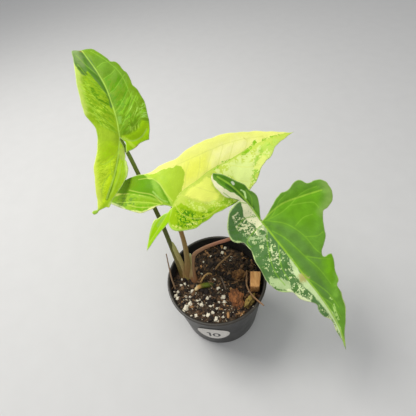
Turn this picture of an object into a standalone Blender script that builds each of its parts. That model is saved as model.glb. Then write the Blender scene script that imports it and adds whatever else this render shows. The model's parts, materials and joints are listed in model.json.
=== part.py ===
"""Potted variegated arrowhead vine: a nursery pot of bark and perlite mix holding a
young plant with three arrow-shaped leaves.

Frame: origin at the centre of the pot's foot, on the surface it stands on, +Z up,
the pot's label towards -Y. Sizes below are in millimetres, and MM turns them into metres.
"""
import math
import random

import bmesh
import bpy
import numpy as np
from mathutils import Matrix, Vector, noise
from mathutils.geometry import delaunay_2d_cdt

MM = 0.001
CLEARANCE = 0.3

POT_HEIGHT = 75.0
RIM_RADIUS = 50.0
WALL_TOP_RADIUS = 48.4
FOOT_RADIUS = 41.0
FOOT_ROUND = 2.2
WALL = 1.3
FLOOR = 1.8
LIP_HEIGHT = 2.8
POT_SIDES = 48
DRAIN_COUNT = 6
DRAIN_RADIUS = 3.6
DRAIN_RING_RADIUS = 28.0

LABEL_DIAMETER = 33.0
LABEL_THICKNESS = 0.4
LABEL_CENTRE_HEIGHT = 41.0
LABEL_ANGLE = math.radians(-104.5)

SOIL_RINGS = 7
SOIL_ROUGHNESS = 0.8
SMALL_GRAINS = 34
GRAIN_SEED = 7

BLADE_THICKNESS = 0.7
BLADE_SPACING = 5.2
MIDRIB_DEPTH = 2.1
SIDE_VEIN_DEPTH = 1.1
TROUGH_REACH = 14.0

PETIOLE_TOP_RADIUS = 1.9
PETIOLE_SIDES = 12
STATION_STEP = 7.0

# Soil surface: x, y and height of a few points, from the higher front left to the low right edge.
SOIL_POINTS = [
    (0, 40, 62), (-35, 20, 64), (35, 25, 60), (0, 0, 65), (-25, 5, 66), (30, 0, 62), (45, -5, 59),
    (-40, -15, 69), (-20, -38, 71), (5, -44, 71), (25, -36, 67), (40, -22, 62), (15, -20, 66),
]

# Large perlite grains: x, y and radius.
LARGE_GRAINS = [
    (-33, -26.5, 3.0), (-29, -23, 2.4), (-40, -8, 2.6), (-41, -15, 2.1), (-18, -25, 2.0), (-12, -19, 1.7),
    (-8, -35, 2.0), (-13, -37, 2.1), (4, -20, 2.5), (-6, -42, 2.3), (1, -41, 1.7), (-26, -9, 1.8),
    (-33, 1, 1.7), (14, 41, 2.1), (10, 35, 1.9), (-3, 2, 1.8), (0, -9, 2.2), (-24, -36, 2.0),
]

# A leaf is a sheet over its own plane: x runs from the stalk to the tip, y to the left of it.
# "heights" lift that plane, "curl" bends the tip down, and the sheet dips along the veins.
# An outline is a chain of smooth runs, and each place where two runs meet is a sharp corner.
LEAVES = {
    "a": {
        "stalk": (-70, 93, 190), "tip": (-101, 181, 237), "roll": 0.0, "trough": 0.20, "curl": (98, 0.045),
        "heights": [
            (0, 0, 0), (35, -6, 2), (70, -6, 3), (100, -2, 2), (30, 22, 8), (70, 14, 7), (100, 10, 4),
            (20, -32, -3), (50, -33, -2), (80, -26, -2), (105, -10, -1), (-20, 22, 1), (-40, 30, -1),
            (-60, 42, -5), (-30, 4, -4), (-50, 18, -6), (-12, -6, -5), (-14, -22, -12), (0, -28, -6),
        ],
        "midrib": [(0, 0), (18, -4), (36, -6), (53, -7), (68, -6), (82, -4), (104, 0), (117, 2)],
        "lobe_veins": [[(0, 0), (-18, 9), (-34, 19), (-50, 32)], [(0, 0), (-5, -10), (-3, -20), (2, -27)]],
        "outline": [
            [(0, 0), (-6, -3), (-13, -3), (-13, -8), (-9, -15), (-7, -22), (-2, -29), (8, -32), (20, -35),
             (34, -36), (48, -34), (62, -33), (76, -29), (88, -21), (98, -15), (107, -10), (115, -5),
             (123, 2)],
            [(123, 2), (115, 7), (104, 9), (90, 11), (74, 13), (58, 16), (44, 18), (30, 20), (20, 18),
             (12, 16), (5, 18), (-6, 23), (-20, 31), (-34, 35), (-48, 39), (-58, 45)],
            [(-58, 45), (-57, 38), (-56, 31), (-52, 24), (-46, 15), (-38, 8), (-27, 4), (-15, 2), (0, 0)],
        ],
    },
    "b": {
        "stalk": (-28, 20, 165), "tip": (90, 77, 180), "roll": 14.0, "trough": 0.14, "curl": (999, 0.0),
        "heights": [
            (0, 0, 0), (30, 9, 0), (60, 11, 0), (95, 10, 0), (131, 0, 0), (20, 40, 6), (55, 42, 8),
            (90, 30, 5), (112, 14, 2), (40, -28, -14), (75, -18, -9), (105, -4, -1), (0, -28, -11),
            (-20, 30, -7), (-43, 38, -21), (-20, 47, -13), (-25, 14, -10), (-20, -8, -12), (-36, -20, -24),
            (-10, -16, -8),
        ],
        "midrib": [(0, 0), (6, 3), (15, 7), (30, 9), (47, 11), (66, 10), (89, 10), (109, 7), (127, 2)],
        "lobe_veins": [[(0, 0), (-12, 15), (-25, 30), (-37, 44)], [(0, 0), (-10, -3), (-22, -6), (-31, -8)]],
        "outline": [
            [(0, 0), (-6, 7), (-15, 11), (-24, 15), (-30, 23), (-36, 34), (-45, 53)],
            [(-45, 53), (-34, 58), (-20, 56), (-8, 48), (2, 39), (14, 37), (28, 35), (44, 37), (58, 36),
             (72, 33), (86, 28), (100, 21), (114, 12), (124, 5), (131, 0)],
            [(131, 0), (119, -1), (108, -3), (98, -8), (86, -13), (75, -19), (64, -22), (50, -24),
             (34, -23), (18, -25), (6, -25), (-3, -21), (-9, -15), (-10, -8)],
            [(-10, -8), (-18, -9), (-29, -10), (-37, -12)],
            [(-37, -12), (-30, -5), (-20, 0), (-10, 1), (0, 0)],
        ],
    },
    "c": {
        "stalk": (46, 11, 140), "tip": (100, -83, 70), "roll": 15.0, "trough": 0.16, "curl": (999, 0.0),
        "heights": [
            (0, 0, 0), (30, 2, 4), (60, 4, 6), (95, 6, 4), (130, 0, 0), (20, -25, -3), (50, -24, -2),
            (30, 45, 4), (60, 34, 4), (95, 22, 1), (0, -29, -5), (15, 65, 2), (-4, 62, 2), (-10, 34, 2),
            (-30, 0, 9), (-58, -12, 15), (-44, 4, 13), (-40, -16, 13), (-20, -20, 5),
        ],
        "midrib": [(0, 0), (12, 1), (29, 2), (60, 4), (85, 6), (110, 5), (126, 1)],
        "lobe_veins": [[(0, 0), (-12, -1), (-27, -3), (-42, -8), (-52, -13)],
                       [(0, 0), (-3, 22), (1, 42), (6, 60)]],
        "outline": [
            [(0, 0), (-8, 4), (-17, 8), (-26, 6), (-37, 1), (-47, -6), (-57, -14)],
            [(-57, -14), (-52, -19), (-42, -19), (-32, -16), (-25, -7)],
            [(-25, -7), (-24, -15), (-19, -23), (-9, -29), (0, -30), (7, -24), (16, -22), (29, -24),
             (44, -25), (56, -23), (62, -15), (72, -10), (82, -3), (92, -2), (103, 3), (114, 2), (130, 0)],
            [(130, 0), (124, 3), (114, 10), (100, 19), (87, 23), (74, 28), (64, 32), (55, 34)],
            [(55, 34), (53, 27), (46, 31), (38, 39), (28, 45), (22, 51), (20, 60), (13, 66), (4, 68),
             (-3, 63), (-6, 54), (-12, 48), (-12, 40), (-11, 30), (-8, 20), (-4, 11), (0, 0)],
        ],
    },
}

# Leaf stalks: each control point is x, y, z and the stalk's radius there.
STEM_PATH = [(-27, 5, 42, 5.0), (-28, 7, 56, 4.8), (-29.5, 10, 67, 4.2)]
PETIOLE_PATHS = {
    "a": [(-31, 8, 56, 3.4), (-34, 11, 64, 3.6), (-36, 16, 76, 3.0), (-40, 26, 93, 2.4), (-46, 42, 120, 2.2),
          (-57, 67, 152, 2.1), (-65, 85, 172, 2.0)],
    "b": [(-29, 9, 66, 3.6), (-28, 12, 77, 3.3), (-26.5, 15, 92, 2.7), (-25.5, 17, 112, 2.3),
          (-26, 18, 135, 2.1), (-28, 19.5, 152, 2.0)],
    "c": [(-23, 1, 57, 4.0), (-24, 3, 64, 4.4), (-25, 8, 72, 3.9), (-24.5, 15, 80, 3.0), (-19, 22, 87, 2.5),
          (-8, 24, 93, 1.9), (5, 23, 99.5, 1.8), (19, 20, 108, 1.8), (34, 15, 125, 1.8)],
}
# Sheaths: the thin pale flap that a stalk carries at its foot, as x, y, z and half its width.
SHEATH_PATHS = {
    "a": [(-32, 9, 66, 2.6), (-33, 14, 77, 2.4), (-36, 20.5, 87, 2.0), (-38.5, 27, 97, 0.9)],
    "b": [(-28.5, 8, 70, 2.4), (-28.5, 11, 78, 2.0), (-28, 13, 84, 0.9)],
    "c": [(-26.5, 4, 66, 2.8), (-28, 9, 74, 2.4), (-27.5, 14, 82, 2.0), (-24.5, 19, 90, 0.9)],
}
SHEATH_THICKNESS = 0.9

# Loose pieces on the soil: x, y, height of the centre line over the soil, and radius.
ROOT_PATHS = {
    "dry_straw_left": [(-42, -6, -4, 0.9), (-43.5, -2, 3, 0.9), (-45, 3, 9, 0.8), (-46, 12, 18, 0.7),
                       (-47, 23, 29, 0.5)],
    "dry_root_right": [(32, 15, -4, 0.9), (32, 6, 3, 0.9), (30, -4, 8, 0.9), (28.5, -13, 8, 0.9),
                       (31, -23, 8, 0.8),
                       (35, -32, 12, 0.8), (39, -39, 15, 0.6)],
    "dry_root_middle": [(-4, 11, -4, 0.9), (1, 15, 2, 0.9), (8, 19, 7, 0.9), (17, 23, 12, 0.5)],
    "dry_root_arc": [(-18, -2, -4, 0.9), (-16, 1, 2, 0.9), (-12, 5, 5, 0.9), (-7, 8, 4, 0.9),
                     (-1, 8, -4, 0.7)],
    "twig": [(2, 10, -3, 0.8), (5, 1, 1, 0.9), (7, -8, 1, 0.9), (8, -15, -3, 0.7)],
}
CUTTING_STUB_PATH = [(-22, -8, 2.5, 1.9), (-19, -6, 3.0, 2.4), (-15.5, -4.5, 2.4, 3.3),
                     (-9, -4, 2.2, 3.5), (-4, -3.5, -1, 2.6)]

# Bark and fibre lumps: x, y, lift over the soil, half sizes, turn and tilt in degrees, roughness.
LUMPS = {
    "bark_chip_red": ((15.5, -24, 1.5), (7.0, 10.0, 5.0), 8, (6, -8), 0.16),
    "bark_chip_brown": ((22, 5, 1.0), (6.0, 5.0, 3.6), 25, (-6, 4), 0.18),
    "fibre_lump": ((28, -27.5, 1.0), (3.4, 9.0, 4.0), -44, (0, 6), 0.14),
}
TAN_CHIP_CENTRE = (37.5, -8.0, 6.5)
TAN_CHIP_SIZE = (10.5, 17.0, 13.0)
TAN_CHIP_TURN = math.radians(-11.0)
TAN_CHIP_BEVEL = 1.2

COLOURS = {
    "pot": ((0.028, 0.029, 0.031), 0.38),
    "label": ((0.72, 0.72, 0.72), 0.55),
    "soil": ((0.045, 0.030, 0.020), 0.95),
    "stem": ((0.20, 0.19, 0.05), 0.6),
    "petiole_a": ((0.16, 0.19, 0.05), 0.5),
    "petiole_b": ((0.24, 0.15, 0.07), 0.5),
    "petiole_c": ((0.42, 0.22, 0.16), 0.5),
    "leaf_a": ((0.33, 0.56, 0.09), 0.4),
    "leaf_b": ((0.66, 0.74, 0.28), 0.42),
    "leaf_c": ((0.10, 0.27, 0.06), 0.42),
    "wood": ((0.55, 0.30, 0.11), 0.85),
    "red_bark": ((0.30, 0.12, 0.06), 0.9),
    "brown_bark": ((0.16, 0.09, 0.05), 0.9),
    "straw": ((0.42, 0.28, 0.15), 0.8),
    "stub": ((0.16, 0.18, 0.03), 0.7),
}

# Facets and steps of the swept pieces.
CAP_LEANS = (70, 35)
FLAP_SIDES = 10
ROOT_SIDES = 7

# Side veins: first and last place on the midrib, spacing, slant from it, and how they bend, all
# in millimetres and degrees. They stop VEIN_END short of the margin.
FIRST_VEIN = 14
LAST_VEIN = 22
VEIN_SPACING = 15
VEIN_SLANT = 58
VEIN_STEP = 4.0
VEIN_BEND = 4.0
VEIN_END = 4.0

# Grid points of a blade keep these shares of its spacing from ribs and from the margin.
RIB_ROOM = 0.62
MARGIN_ROOM = 0.45
ON_RIB = 0.1

# Rings and sides that the label's disc is made with.
LABEL_RINGS = 3
LABEL_SIDES = 28

# The soil's height at the wall is read at the rim radius. It is cut back by the heel at the floor,
# and its noise has a broad scale and a fine one, the fine one at this share of the broad.
SOIL_RIM_RADIUS = 46
SOIL_HEEL = 2
MOUND_SCALE = 0.16
CRUMB_SCALE = 0.37
CRUMB_SHARE = 0.6

# Grains rise by these shares of their radius. The small ones lie within the reach, thickest in
# front and on the left.
LARGE_GRAIN_RISE = 0.35
SMALL_GRAIN_RISE = 0.3
SMALL_GRAIN_REACH = 42
SMALL_GRAIN_RADIUS = (1.1, 1.7)
SPARSE_SHARE = 0.25
GRAINY_FRONT = -12
GRAINY_RIGHT = 12


def clear_scene():
    for thing in list(bpy.data.objects):
        bpy.data.objects.remove(thing, do_unlink=True)


def new_material(name):
    colour, roughness = COLOURS[name]
    material = bpy.data.materials.new(name)
    material.use_nodes = True
    shader = material.node_tree.nodes["Principled BSDF"]
    shader.inputs["Base Color"].default_value = (*colour, 1.0)
    shader.inputs["Roughness"].default_value = roughness
    shader.inputs["Metallic"].default_value = 0.0
    return material


def new_object(name, mesh, collection, material=None):
    thing = bpy.data.objects.new(name, mesh)
    collection.objects.link(thing)
    if material:
        mesh.materials.append(material)
    return thing


def mesh_from_bmesh(name, bm):
    bm.normal_update()
    mesh = bpy.data.meshes.new(name)
    bm.to_mesh(mesh)
    bm.free()
    return mesh


def combine(target, tools, operation):
    """Join target with the tools, or cut it by them, in one Boolean that is applied at once."""
    tool_collection = bpy.data.collections.new("tools")
    bpy.context.scene.collection.children.link(tool_collection)
    for mesh in tools:
        new_object("tool", mesh, tool_collection)
    modifier = target.modifiers.new("combine", "BOOLEAN")
    modifier.operation = operation
    modifier.operand_type = "COLLECTION"
    modifier.collection = tool_collection
    modifier.solver = "EXACT"
    bpy.context.view_layer.update()
    result = target.evaluated_get(bpy.context.evaluated_depsgraph_get())
    target.data = bpy.data.meshes.new_from_object(result)
    target.modifiers.clear()
    for thing in list(tool_collection.objects):
        bpy.data.objects.remove(thing, do_unlink=True)
    bpy.data.collections.remove(tool_collection)


def shade(thing, angle=40.0):
    thing.data.shade_smooth()
    thing.data.set_sharp_from_angle(angle=math.radians(angle))


def catmull_rom(points, step):
    """Points about one step apart on the smooth curve through the given points, ends included."""
    points = [Vector(point) for point in points]
    padded = [2 * points[0] - points[1]] + points + [2 * points[-1] - points[-2]]
    curve = []
    for before, start, end, after in zip(padded, padded[1:], padded[2:], padded[3:]):
        count = max(1, round((end - start).length / step))
        for index in range(count):
            t = index / count
            curve.append(0.5 * (2 * start + (end - before) * t
                                + (2 * before - 5 * start + 4 * end - after) * t ** 2
                                + (3 * start - before - 3 * end + after) * t ** 3))
    curve.append(points[-1])
    return curve


def thin_plate(points):
    """The smooth surface z(x, y) through the given points."""
    data = np.array(points, float)
    places = data[:, :2]
    count = len(places)

    def kernel(a, b):
        distance = np.linalg.norm(a[:, None] - b[None], axis=2)
        return distance ** 2 * np.log(distance + 1e-9)

    affine = np.c_[np.ones(count), places]
    system = np.block([[kernel(places, places), affine], [affine.T, np.zeros((3, 3))]])
    weights = np.linalg.solve(system, np.r_[data[:, 2], 0, 0, 0])

    def surface(x, y):
        query = np.array([[x, y]], float)
        bend = kernel(query, places)[0] @ weights[:count]
        return float(bend + weights[count] + weights[count + 1] * x + weights[count + 2] * y)

    return surface


def sweep(path, sides, grow=0.0, flatten=None):
    """A closed tube with rounded ends along points of (x, y, z, radius), in millimetres.

    flatten is (direction, thickness): the section is then an ellipse as thin as that along it.
    """
    stations = catmull_rom(path, STATION_STEP)
    centres = [Vector(station[:3]) for station in stations]
    radii = [station[3] + grow for station in stations]
    directions = []
    for index in range(len(centres)):
        before = centres[max(index - 1, 0)]
        after = centres[min(index + 1, len(centres) - 1)]
        directions.append((after - before).normalized())
    rings = []
    for end in (0, -1):
        outward = -directions[end] if end == 0 else directions[end]
        for angle in CAP_LEANS:
            offset = radii[end] * math.sin(math.radians(angle))
            radius = radii[end] * math.cos(math.radians(angle))
            rings.append((centres[end] + outward * offset, radius, directions[end]))
    start_cap = rings[:2]
    end_cap = [rings[3], rings[2]]
    body = list(zip(centres, radii, directions))
    bm = bmesh.new()
    loops = []
    side = Vector(flatten[0]) if flatten else Vector((0.3, -0.9, 0.1))
    for centre, radius, direction in start_cap + body + end_cap:
        side = (side - direction * side.dot(direction)).normalized()
        across = direction.cross(side)
        thickness = flatten[1] / 2 + grow if flatten else radius
        loop = []
        for index in range(sides):
            angle = 2 * math.pi * index / sides
            offset = side * (math.cos(angle) * min(thickness, radius)) + across * (math.sin(angle) * radius)
            loop.append(bm.verts.new((centre + offset) * MM))
        loops.append(loop)
    for lower, upper in zip(loops, loops[1:]):
        for index in range(sides):
            following = (index + 1) % sides
            bm.faces.new((lower[index], lower[following], upper[following], upper[index]))
    bm.faces.new(list(reversed(loops[0])))
    bm.faces.new(loops[-1])
    bmesh.ops.triangulate(bm, faces=bm.faces)
    bmesh.ops.recalc_face_normals(bm, faces=bm.faces)
    return mesh_from_bmesh("sweep", bm)


def wall_radius(height):
    """Outside radius of the pot's wall."""
    return FOOT_RADIUS + (WALL_TOP_RADIUS - FOOT_RADIUS) * height / POT_HEIGHT


def make_pot(collection):
    lip_bottom = POT_HEIGHT - LIP_HEIGHT
    inner_top = WALL_TOP_RADIUS - WALL
    inner_foot = wall_radius(FLOOR) - WALL
    profile = [
        (0, FLOOR), (inner_foot - 1.5, FLOOR), (inner_foot, FLOOR + 1.5), (inner_top, POT_HEIGHT - 1.0),
        (inner_top + 0.5, POT_HEIGHT - 0.2), (inner_top + 1.2, POT_HEIGHT), (RIM_RADIUS - 0.6, POT_HEIGHT),
        (RIM_RADIUS, POT_HEIGHT - 0.7), (RIM_RADIUS, lip_bottom + 0.4), (RIM_RADIUS - 0.4, lip_bottom),
        (WALL_TOP_RADIUS, lip_bottom - 0.3), (wall_radius(FOOT_ROUND), FOOT_ROUND),
        (FOOT_RADIUS - 0.4, FOOT_ROUND * 0.35), (FOOT_RADIUS - FOOT_ROUND, 0), (0, 0),
    ]
    bm = bmesh.new()
    points = [bm.verts.new((radius * MM, 0, height * MM)) for radius, height in profile]
    for start, end in zip(points, points[1:]):
        bm.edges.new((start, end))
    pot = new_object("pot", mesh_from_bmesh("pot", bm), collection, new_material("pot"))
    screw = pot.modifiers.new("turn", "SCREW")
    screw.steps = POT_SIDES
    screw.render_steps = POT_SIDES
    screw.use_merge_vertices = True
    screw.merge_threshold = 0.0001
    screw.use_normal_calculate = True
    drains = []
    for index in range(DRAIN_COUNT):
        angle = 2 * math.pi * (index + 0.5) / DRAIN_COUNT
        bm = bmesh.new()
        place = Matrix.Translation((DRAIN_RING_RADIUS * MM * math.cos(angle),
                                    DRAIN_RING_RADIUS * MM * math.sin(angle), FLOOR * MM / 2))
        bmesh.ops.create_cone(bm, cap_ends=True, segments=16, radius1=DRAIN_RADIUS * MM,
                              radius2=DRAIN_RADIUS * MM, depth=3 * FLOOR * MM, matrix=place)
        drains.append(mesh_from_bmesh("drain", bm))
    combine(pot, drains, "DIFFERENCE")
    shade(pot, 30)


def make_label(collection):
    """A round sticker bent round the wall, as an open disc that Solidify thickens outward."""
    bm = bmesh.new()
    taper = math.atan2(WALL_TOP_RADIUS - FOOT_RADIUS, POT_HEIGHT)

    def place(across, upward):
        height = LABEL_CENTRE_HEIGHT + upward * math.cos(taper)
        radius = wall_radius(height) + CLEARANCE
        angle = LABEL_ANGLE + across / radius
        return bm.verts.new((radius * math.cos(angle) * MM, radius * math.sin(angle) * MM, height * MM))

    centre = place(0, 0)
    loops = []
    angles = [2 * math.pi * i / LABEL_SIDES for i in range(LABEL_SIDES)]
    for ring in range(1, LABEL_RINGS + 1):
        radius = LABEL_DIAMETER / 2 * ring / LABEL_RINGS
        loops.append([place(radius * math.cos(angle), radius * math.sin(angle)) for angle in angles])
    for i in range(LABEL_SIDES):
        following = (i + 1) % LABEL_SIDES
        bm.faces.new((centre, loops[0][i], loops[0][following]))
        for inner, outer in zip(loops, loops[1:]):
            bm.faces.new((inner[i], outer[i], outer[following], inner[following]))
    bmesh.ops.triangulate(bm, faces=bm.faces)
    label = new_object("label", mesh_from_bmesh("label", bm), collection, new_material("label"))
    solidify = label.modifiers.new("thickness", "SOLIDIFY")
    solidify.thickness = LABEL_THICKNESS * MM
    solidify.offset = 1.0


def grain_mesh(centre, radius, draw):
    """A small angular grain, squashed and turned at random."""
    bm = bmesh.new()
    angle = draw.uniform(0, math.tau)
    turn = Matrix.Rotation(angle, 4, Vector((draw.random(), draw.random(), 1.0)).normalized())
    squash = Matrix.Diagonal((1.0, draw.uniform(0.75, 1.0), draw.uniform(0.7, 0.9), 1.0))
    place = Matrix.Translation(Vector(centre) * MM) @ turn @ squash
    bmesh.ops.create_icosphere(bm, subdivisions=1, radius=radius * MM, matrix=place)
    return mesh_from_bmesh("grain", bm)


def make_soil(collection, surface, sunk_pieces):
    """The potting mix fills the pot, with raised perlite and plain holes for what stands in it."""
    gap = WALL + CLEARANCE
    outer_angle = [2 * math.pi * index / POT_SIDES for index in range(POT_SIDES)]
    bm = bmesh.new()

    def top_point(radius, angle):
        x = radius * math.cos(angle)
        y = radius * math.sin(angle)
        bump = noise.noise(Vector((x, y, 3.1)) * MOUND_SCALE)
        bump += CRUMB_SHARE * noise.noise(Vector((x, y, 8.3)) * CRUMB_SCALE)
        return Vector((x, y, surface(x, y) + SOIL_ROUGHNESS * bump))

    def rim_at(angle):
        """Radius at which the soil's surface meets the wall."""
        height = surface(SOIL_RIM_RADIUS * math.cos(angle), SOIL_RIM_RADIUS * math.sin(angle))
        return wall_radius(height) - gap

    centre = bm.verts.new(top_point(0, 0) * MM)
    loops = []
    for ring in range(1, SOIL_RINGS + 1):
        loops.append([bm.verts.new(top_point(rim_at(a) * ring / SOIL_RINGS, a) * MM)
                      for a in outer_angle])
    floor_height = FLOOR + CLEARANCE
    heel_height = floor_height + SOIL_HEEL
    for radius, height in ((wall_radius(heel_height) - gap, heel_height),
                           (wall_radius(floor_height) - gap - SOIL_HEEL, floor_height)):
        loops.append([bm.verts.new(Vector((radius * math.cos(a), radius * math.sin(a), height)) * MM)
                      for a in outer_angle])
    bottom = bm.verts.new(Vector((0, 0, floor_height)) * MM)
    for index in range(POT_SIDES):
        following = (index + 1) % POT_SIDES
        bm.faces.new((centre, loops[0][index], loops[0][following]))
        for inner, outer in zip(loops, loops[1:]):
            bm.faces.new((inner[index], outer[index], outer[following], inner[following]))
        bm.faces.new((loops[-1][index], bottom, loops[-1][following]))
    bmesh.ops.triangulate(bm, faces=bm.faces)
    bmesh.ops.recalc_face_normals(bm, faces=bm.faces)
    soil = new_object("soil", mesh_from_bmesh("soil", bm), collection, new_material("soil"))
    draw = random.Random(GRAIN_SEED)
    grains = [grain_mesh((x, y, surface(x, y) + radius * LARGE_GRAIN_RISE), radius, draw)
              for x, y, radius in LARGE_GRAINS]
    while len(grains) < len(LARGE_GRAINS) + SMALL_GRAINS:
        angle = draw.uniform(0, math.tau)
        radius = SMALL_GRAIN_REACH * math.sqrt(draw.random())
        x = radius * math.cos(angle)
        y = radius * math.sin(angle)
        grainy = y < GRAINY_FRONT and x < GRAINY_RIGHT
        if draw.random() < (1.0 if grainy else SPARSE_SHARE):
            size = draw.uniform(*SMALL_GRAIN_RADIUS)
            grains.append(grain_mesh((x, y, surface(x, y) + size * SMALL_GRAIN_RISE), size, draw))
    combine(soil, grains, "UNION")
    combine(soil, sunk_pieces, "DIFFERENCE")
    keep_largest_body(soil)


def keep_largest_body(thing):
    """Drop loose scraps that a cut leaves, so that one closed body remains."""
    bm = bmesh.new()
    bm.from_mesh(thing.data)
    unvisited = set(bm.verts)
    bodies = []
    while unvisited:
        start = unvisited.pop()
        body = {start}
        to_follow = [start]
        while to_follow:
            vertex = to_follow.pop()
            for edge in vertex.link_edges:
                neighbour = edge.other_vert(vertex)
                if neighbour in unvisited:
                    unvisited.discard(neighbour)
                    body.add(neighbour)
                    to_follow.append(neighbour)
        bodies.append(body)
    bodies.sort(key=len)
    scraps = [vertex for body in bodies[:-1] for vertex in body]
    bmesh.ops.delete(bm, geom=scraps, context="VERTS")
    bm.to_mesh(thing.data)
    bm.free()


def distance_to_line(point, line):
    """Distance from a plane point to a chain of points."""
    best = math.inf
    for start, end in zip(line, line[1:]):
        span = end - start
        t = min(max((point - start).dot(span) / span.length_squared, 0.0), 1.0)
        best = min(best, (point - start - span * t).length)
    return best


def inside(point, polygon):
    hit = False
    for start, end in zip(polygon, polygon[1:] + polygon[:1]):
        if (start.y > point.y) != (end.y > point.y):
            if point.x < start.x + (point.y - start.y) * (end.x - start.x) / (end.y - start.y):
                hit = not hit
    return hit


class Blade:
    """One leaf's sheet: its frame in space, its height over its plane, its outline and veins."""

    def __init__(self, leaf):
        self.leaf = leaf
        self.stalk = Vector(leaf["stalk"])
        self.along = (Vector(leaf["tip"]) - self.stalk).normalized()
        level = Vector((0, 0, 1)).cross(self.along).normalized()
        upright = self.along.cross(level)
        roll = math.radians(leaf["roll"])
        self.across = level * math.cos(roll) + upright * math.sin(roll)
        self.normal = upright * math.cos(roll) - level * math.sin(roll)
        self.lift = thin_plate(leaf["heights"])
        lines = [leaf["midrib"]] + leaf["lobe_veins"]
        self.main_veins = [[Vector(point) for point in line] for line in lines]

    def height(self, point):
        nearest = min(distance_to_line(point, line) for line in self.main_veins)
        dip = self.leaf["trough"] * TROUGH_REACH * (1 - math.exp(-nearest / TROUGH_REACH))
        start, strength = self.leaf["curl"]
        return self.lift(point.x, point.y) + dip - strength * max(0.0, point.x - start) ** 2

    def place(self, point):
        """The point in space, in millimetres, of a point of the leaf's plane."""
        return self.stalk + self.along * point.x + self.across * point.y + self.normal * self.height(point)

    def outline(self, step):
        ring = []
        for run in self.leaf["outline"]:
            ring += catmull_rom([(x, y, 0) for x, y in run], step)[:-1]
        return [point.to_2d() for point in ring]

    def side_veins(self, polygon):
        """Veins that leave the midrib at a slant, bend to the tip and stop short of the margin."""
        midrib = catmull_rom([(x, y, 0) for x, y in self.leaf["midrib"]], 1.0)
        veins = []
        for start in range(FIRST_VEIN, len(midrib) - LAST_VEIN, VEIN_SPACING):
            heading = midrib[start + 1] - midrib[start - 1]
            for hand in (1, -1):
                angle = math.atan2(heading.y, heading.x) + hand * math.radians(VEIN_SLANT)
                point = midrib[start].to_2d()
                line = [point]
                while inside(point, polygon) and distance_to_line(point, polygon + polygon[:1]) > VEIN_END:
                    line.append(point)
                    angle -= hand * math.radians(VEIN_BEND)
                    point = point + Vector((math.cos(angle), math.sin(angle))) * VEIN_STEP
                if len(line) > 3:
                    veins.append([line[0]] + line[2:])
        return veins


def make_leaf(name, collection):
    blade = Blade(LEAVES[name])
    polygon = blade.outline(BLADE_SPACING * 0.85)
    closed = polygon + polygon[:1]
    main_lines = [[point.to_2d() for point in catmull_rom([(v.x, v.y, 0) for v in line], BLADE_SPACING)]
                  for line in blade.main_veins]
    side_lines = blade.side_veins(polygon)
    points = list(polygon)
    edges = [(index, (index + 1) % len(polygon)) for index in range(len(polygon))]
    for line in main_lines + side_lines:
        first = len(points)
        points += line
        edges += [(first + index, first + index + 1) for index in range(len(line) - 1)]
    fixed = list(points)
    row_step = BLADE_SPACING * math.sqrt(3) / 2
    rows = [math.floor(value / row_step) for value in (min(p.y for p in polygon), max(p.y for p in polygon))]
    ends = (min(p.x for p in polygon), max(p.x for p in polygon))
    columns = [math.floor(value / BLADE_SPACING) for value in ends]
    for row in range(rows[0] - 1, rows[1] + 2):
        for column in range(columns[0] - 1, columns[1] + 2):
            point = Vector(((column + 0.5 * (row % 2)) * BLADE_SPACING, row * row_step))
            if not inside(point, polygon):
                continue
            if min((point - other).length for other in fixed) > RIB_ROOM * BLADE_SPACING:
                if distance_to_line(point, closed) > MARGIN_ROOM * BLADE_SPACING:
                    points.append(point)
    flat_points, _, triangles, _, _, _ = delaunay_2d_cdt(points, edges, [], 1, 0.05)
    bm = bmesh.new()
    verts = [bm.verts.new(blade.place(point) * MM) for point in flat_points]
    for triangle in triangles:
        bm.faces.new([verts[index] for index in triangle])
    loose = [vertex for vertex in bm.verts if not vertex.link_faces]
    bmesh.ops.delete(bm, geom=loose, context="VERTS")
    bm.normal_update()
    if sum(face.normal.dot(blade.normal) for face in bm.faces) < 0:
        bmesh.ops.reverse_faces(bm, faces=bm.faces)
    kept = [point for point, vertex in zip(flat_points, verts) if vertex.is_valid]
    leaf = new_object("leaf_" + name, mesh_from_bmesh("leaf", bm), collection, new_material("leaf_" + name))
    thickness = leaf.vertex_groups.new(name="thickness")
    length = (Vector(LEAVES[name]["tip"]) - blade.stalk).length
    for index, point in enumerate(kept):
        depth = BLADE_THICKNESS
        if min(distance_to_line(point, line) for line in main_lines) < ON_RIB:
            fade = min(1.0, point.length / length)
            depth = MIDRIB_DEPTH + (BLADE_THICKNESS - MIDRIB_DEPTH) * fade
        elif side_lines and min(distance_to_line(point, line) for line in side_lines) < ON_RIB:
            depth = SIDE_VEIN_DEPTH
        thickness.add([index], depth / MIDRIB_DEPTH, "REPLACE")
    solidify = leaf.modifiers.new("thickness", "SOLIDIFY")
    solidify.thickness = MIDRIB_DEPTH * MM
    solidify.offset = -1.0
    solidify.vertex_group = "thickness"
    return blade


def petiole_path(name, blade):
    """A stalk's points, ending in a round tip just under the blade."""
    end = blade.stalk - blade.normal * (MIDRIB_DEPTH + CLEARANCE + PETIOLE_TOP_RADIUS)
    return PETIOLE_PATHS[name] + [(*end, PETIOLE_TOP_RADIUS)]


def sheath_side(name):
    """The direction in which a sheath's flap is thin: across its stalk, towards the viewer."""
    return {"a": (0.25, -0.9, 0.35), "b": (0.1, -1.0, 0.2), "c": (-0.5, -0.8, 0.3)}[name]


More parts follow.
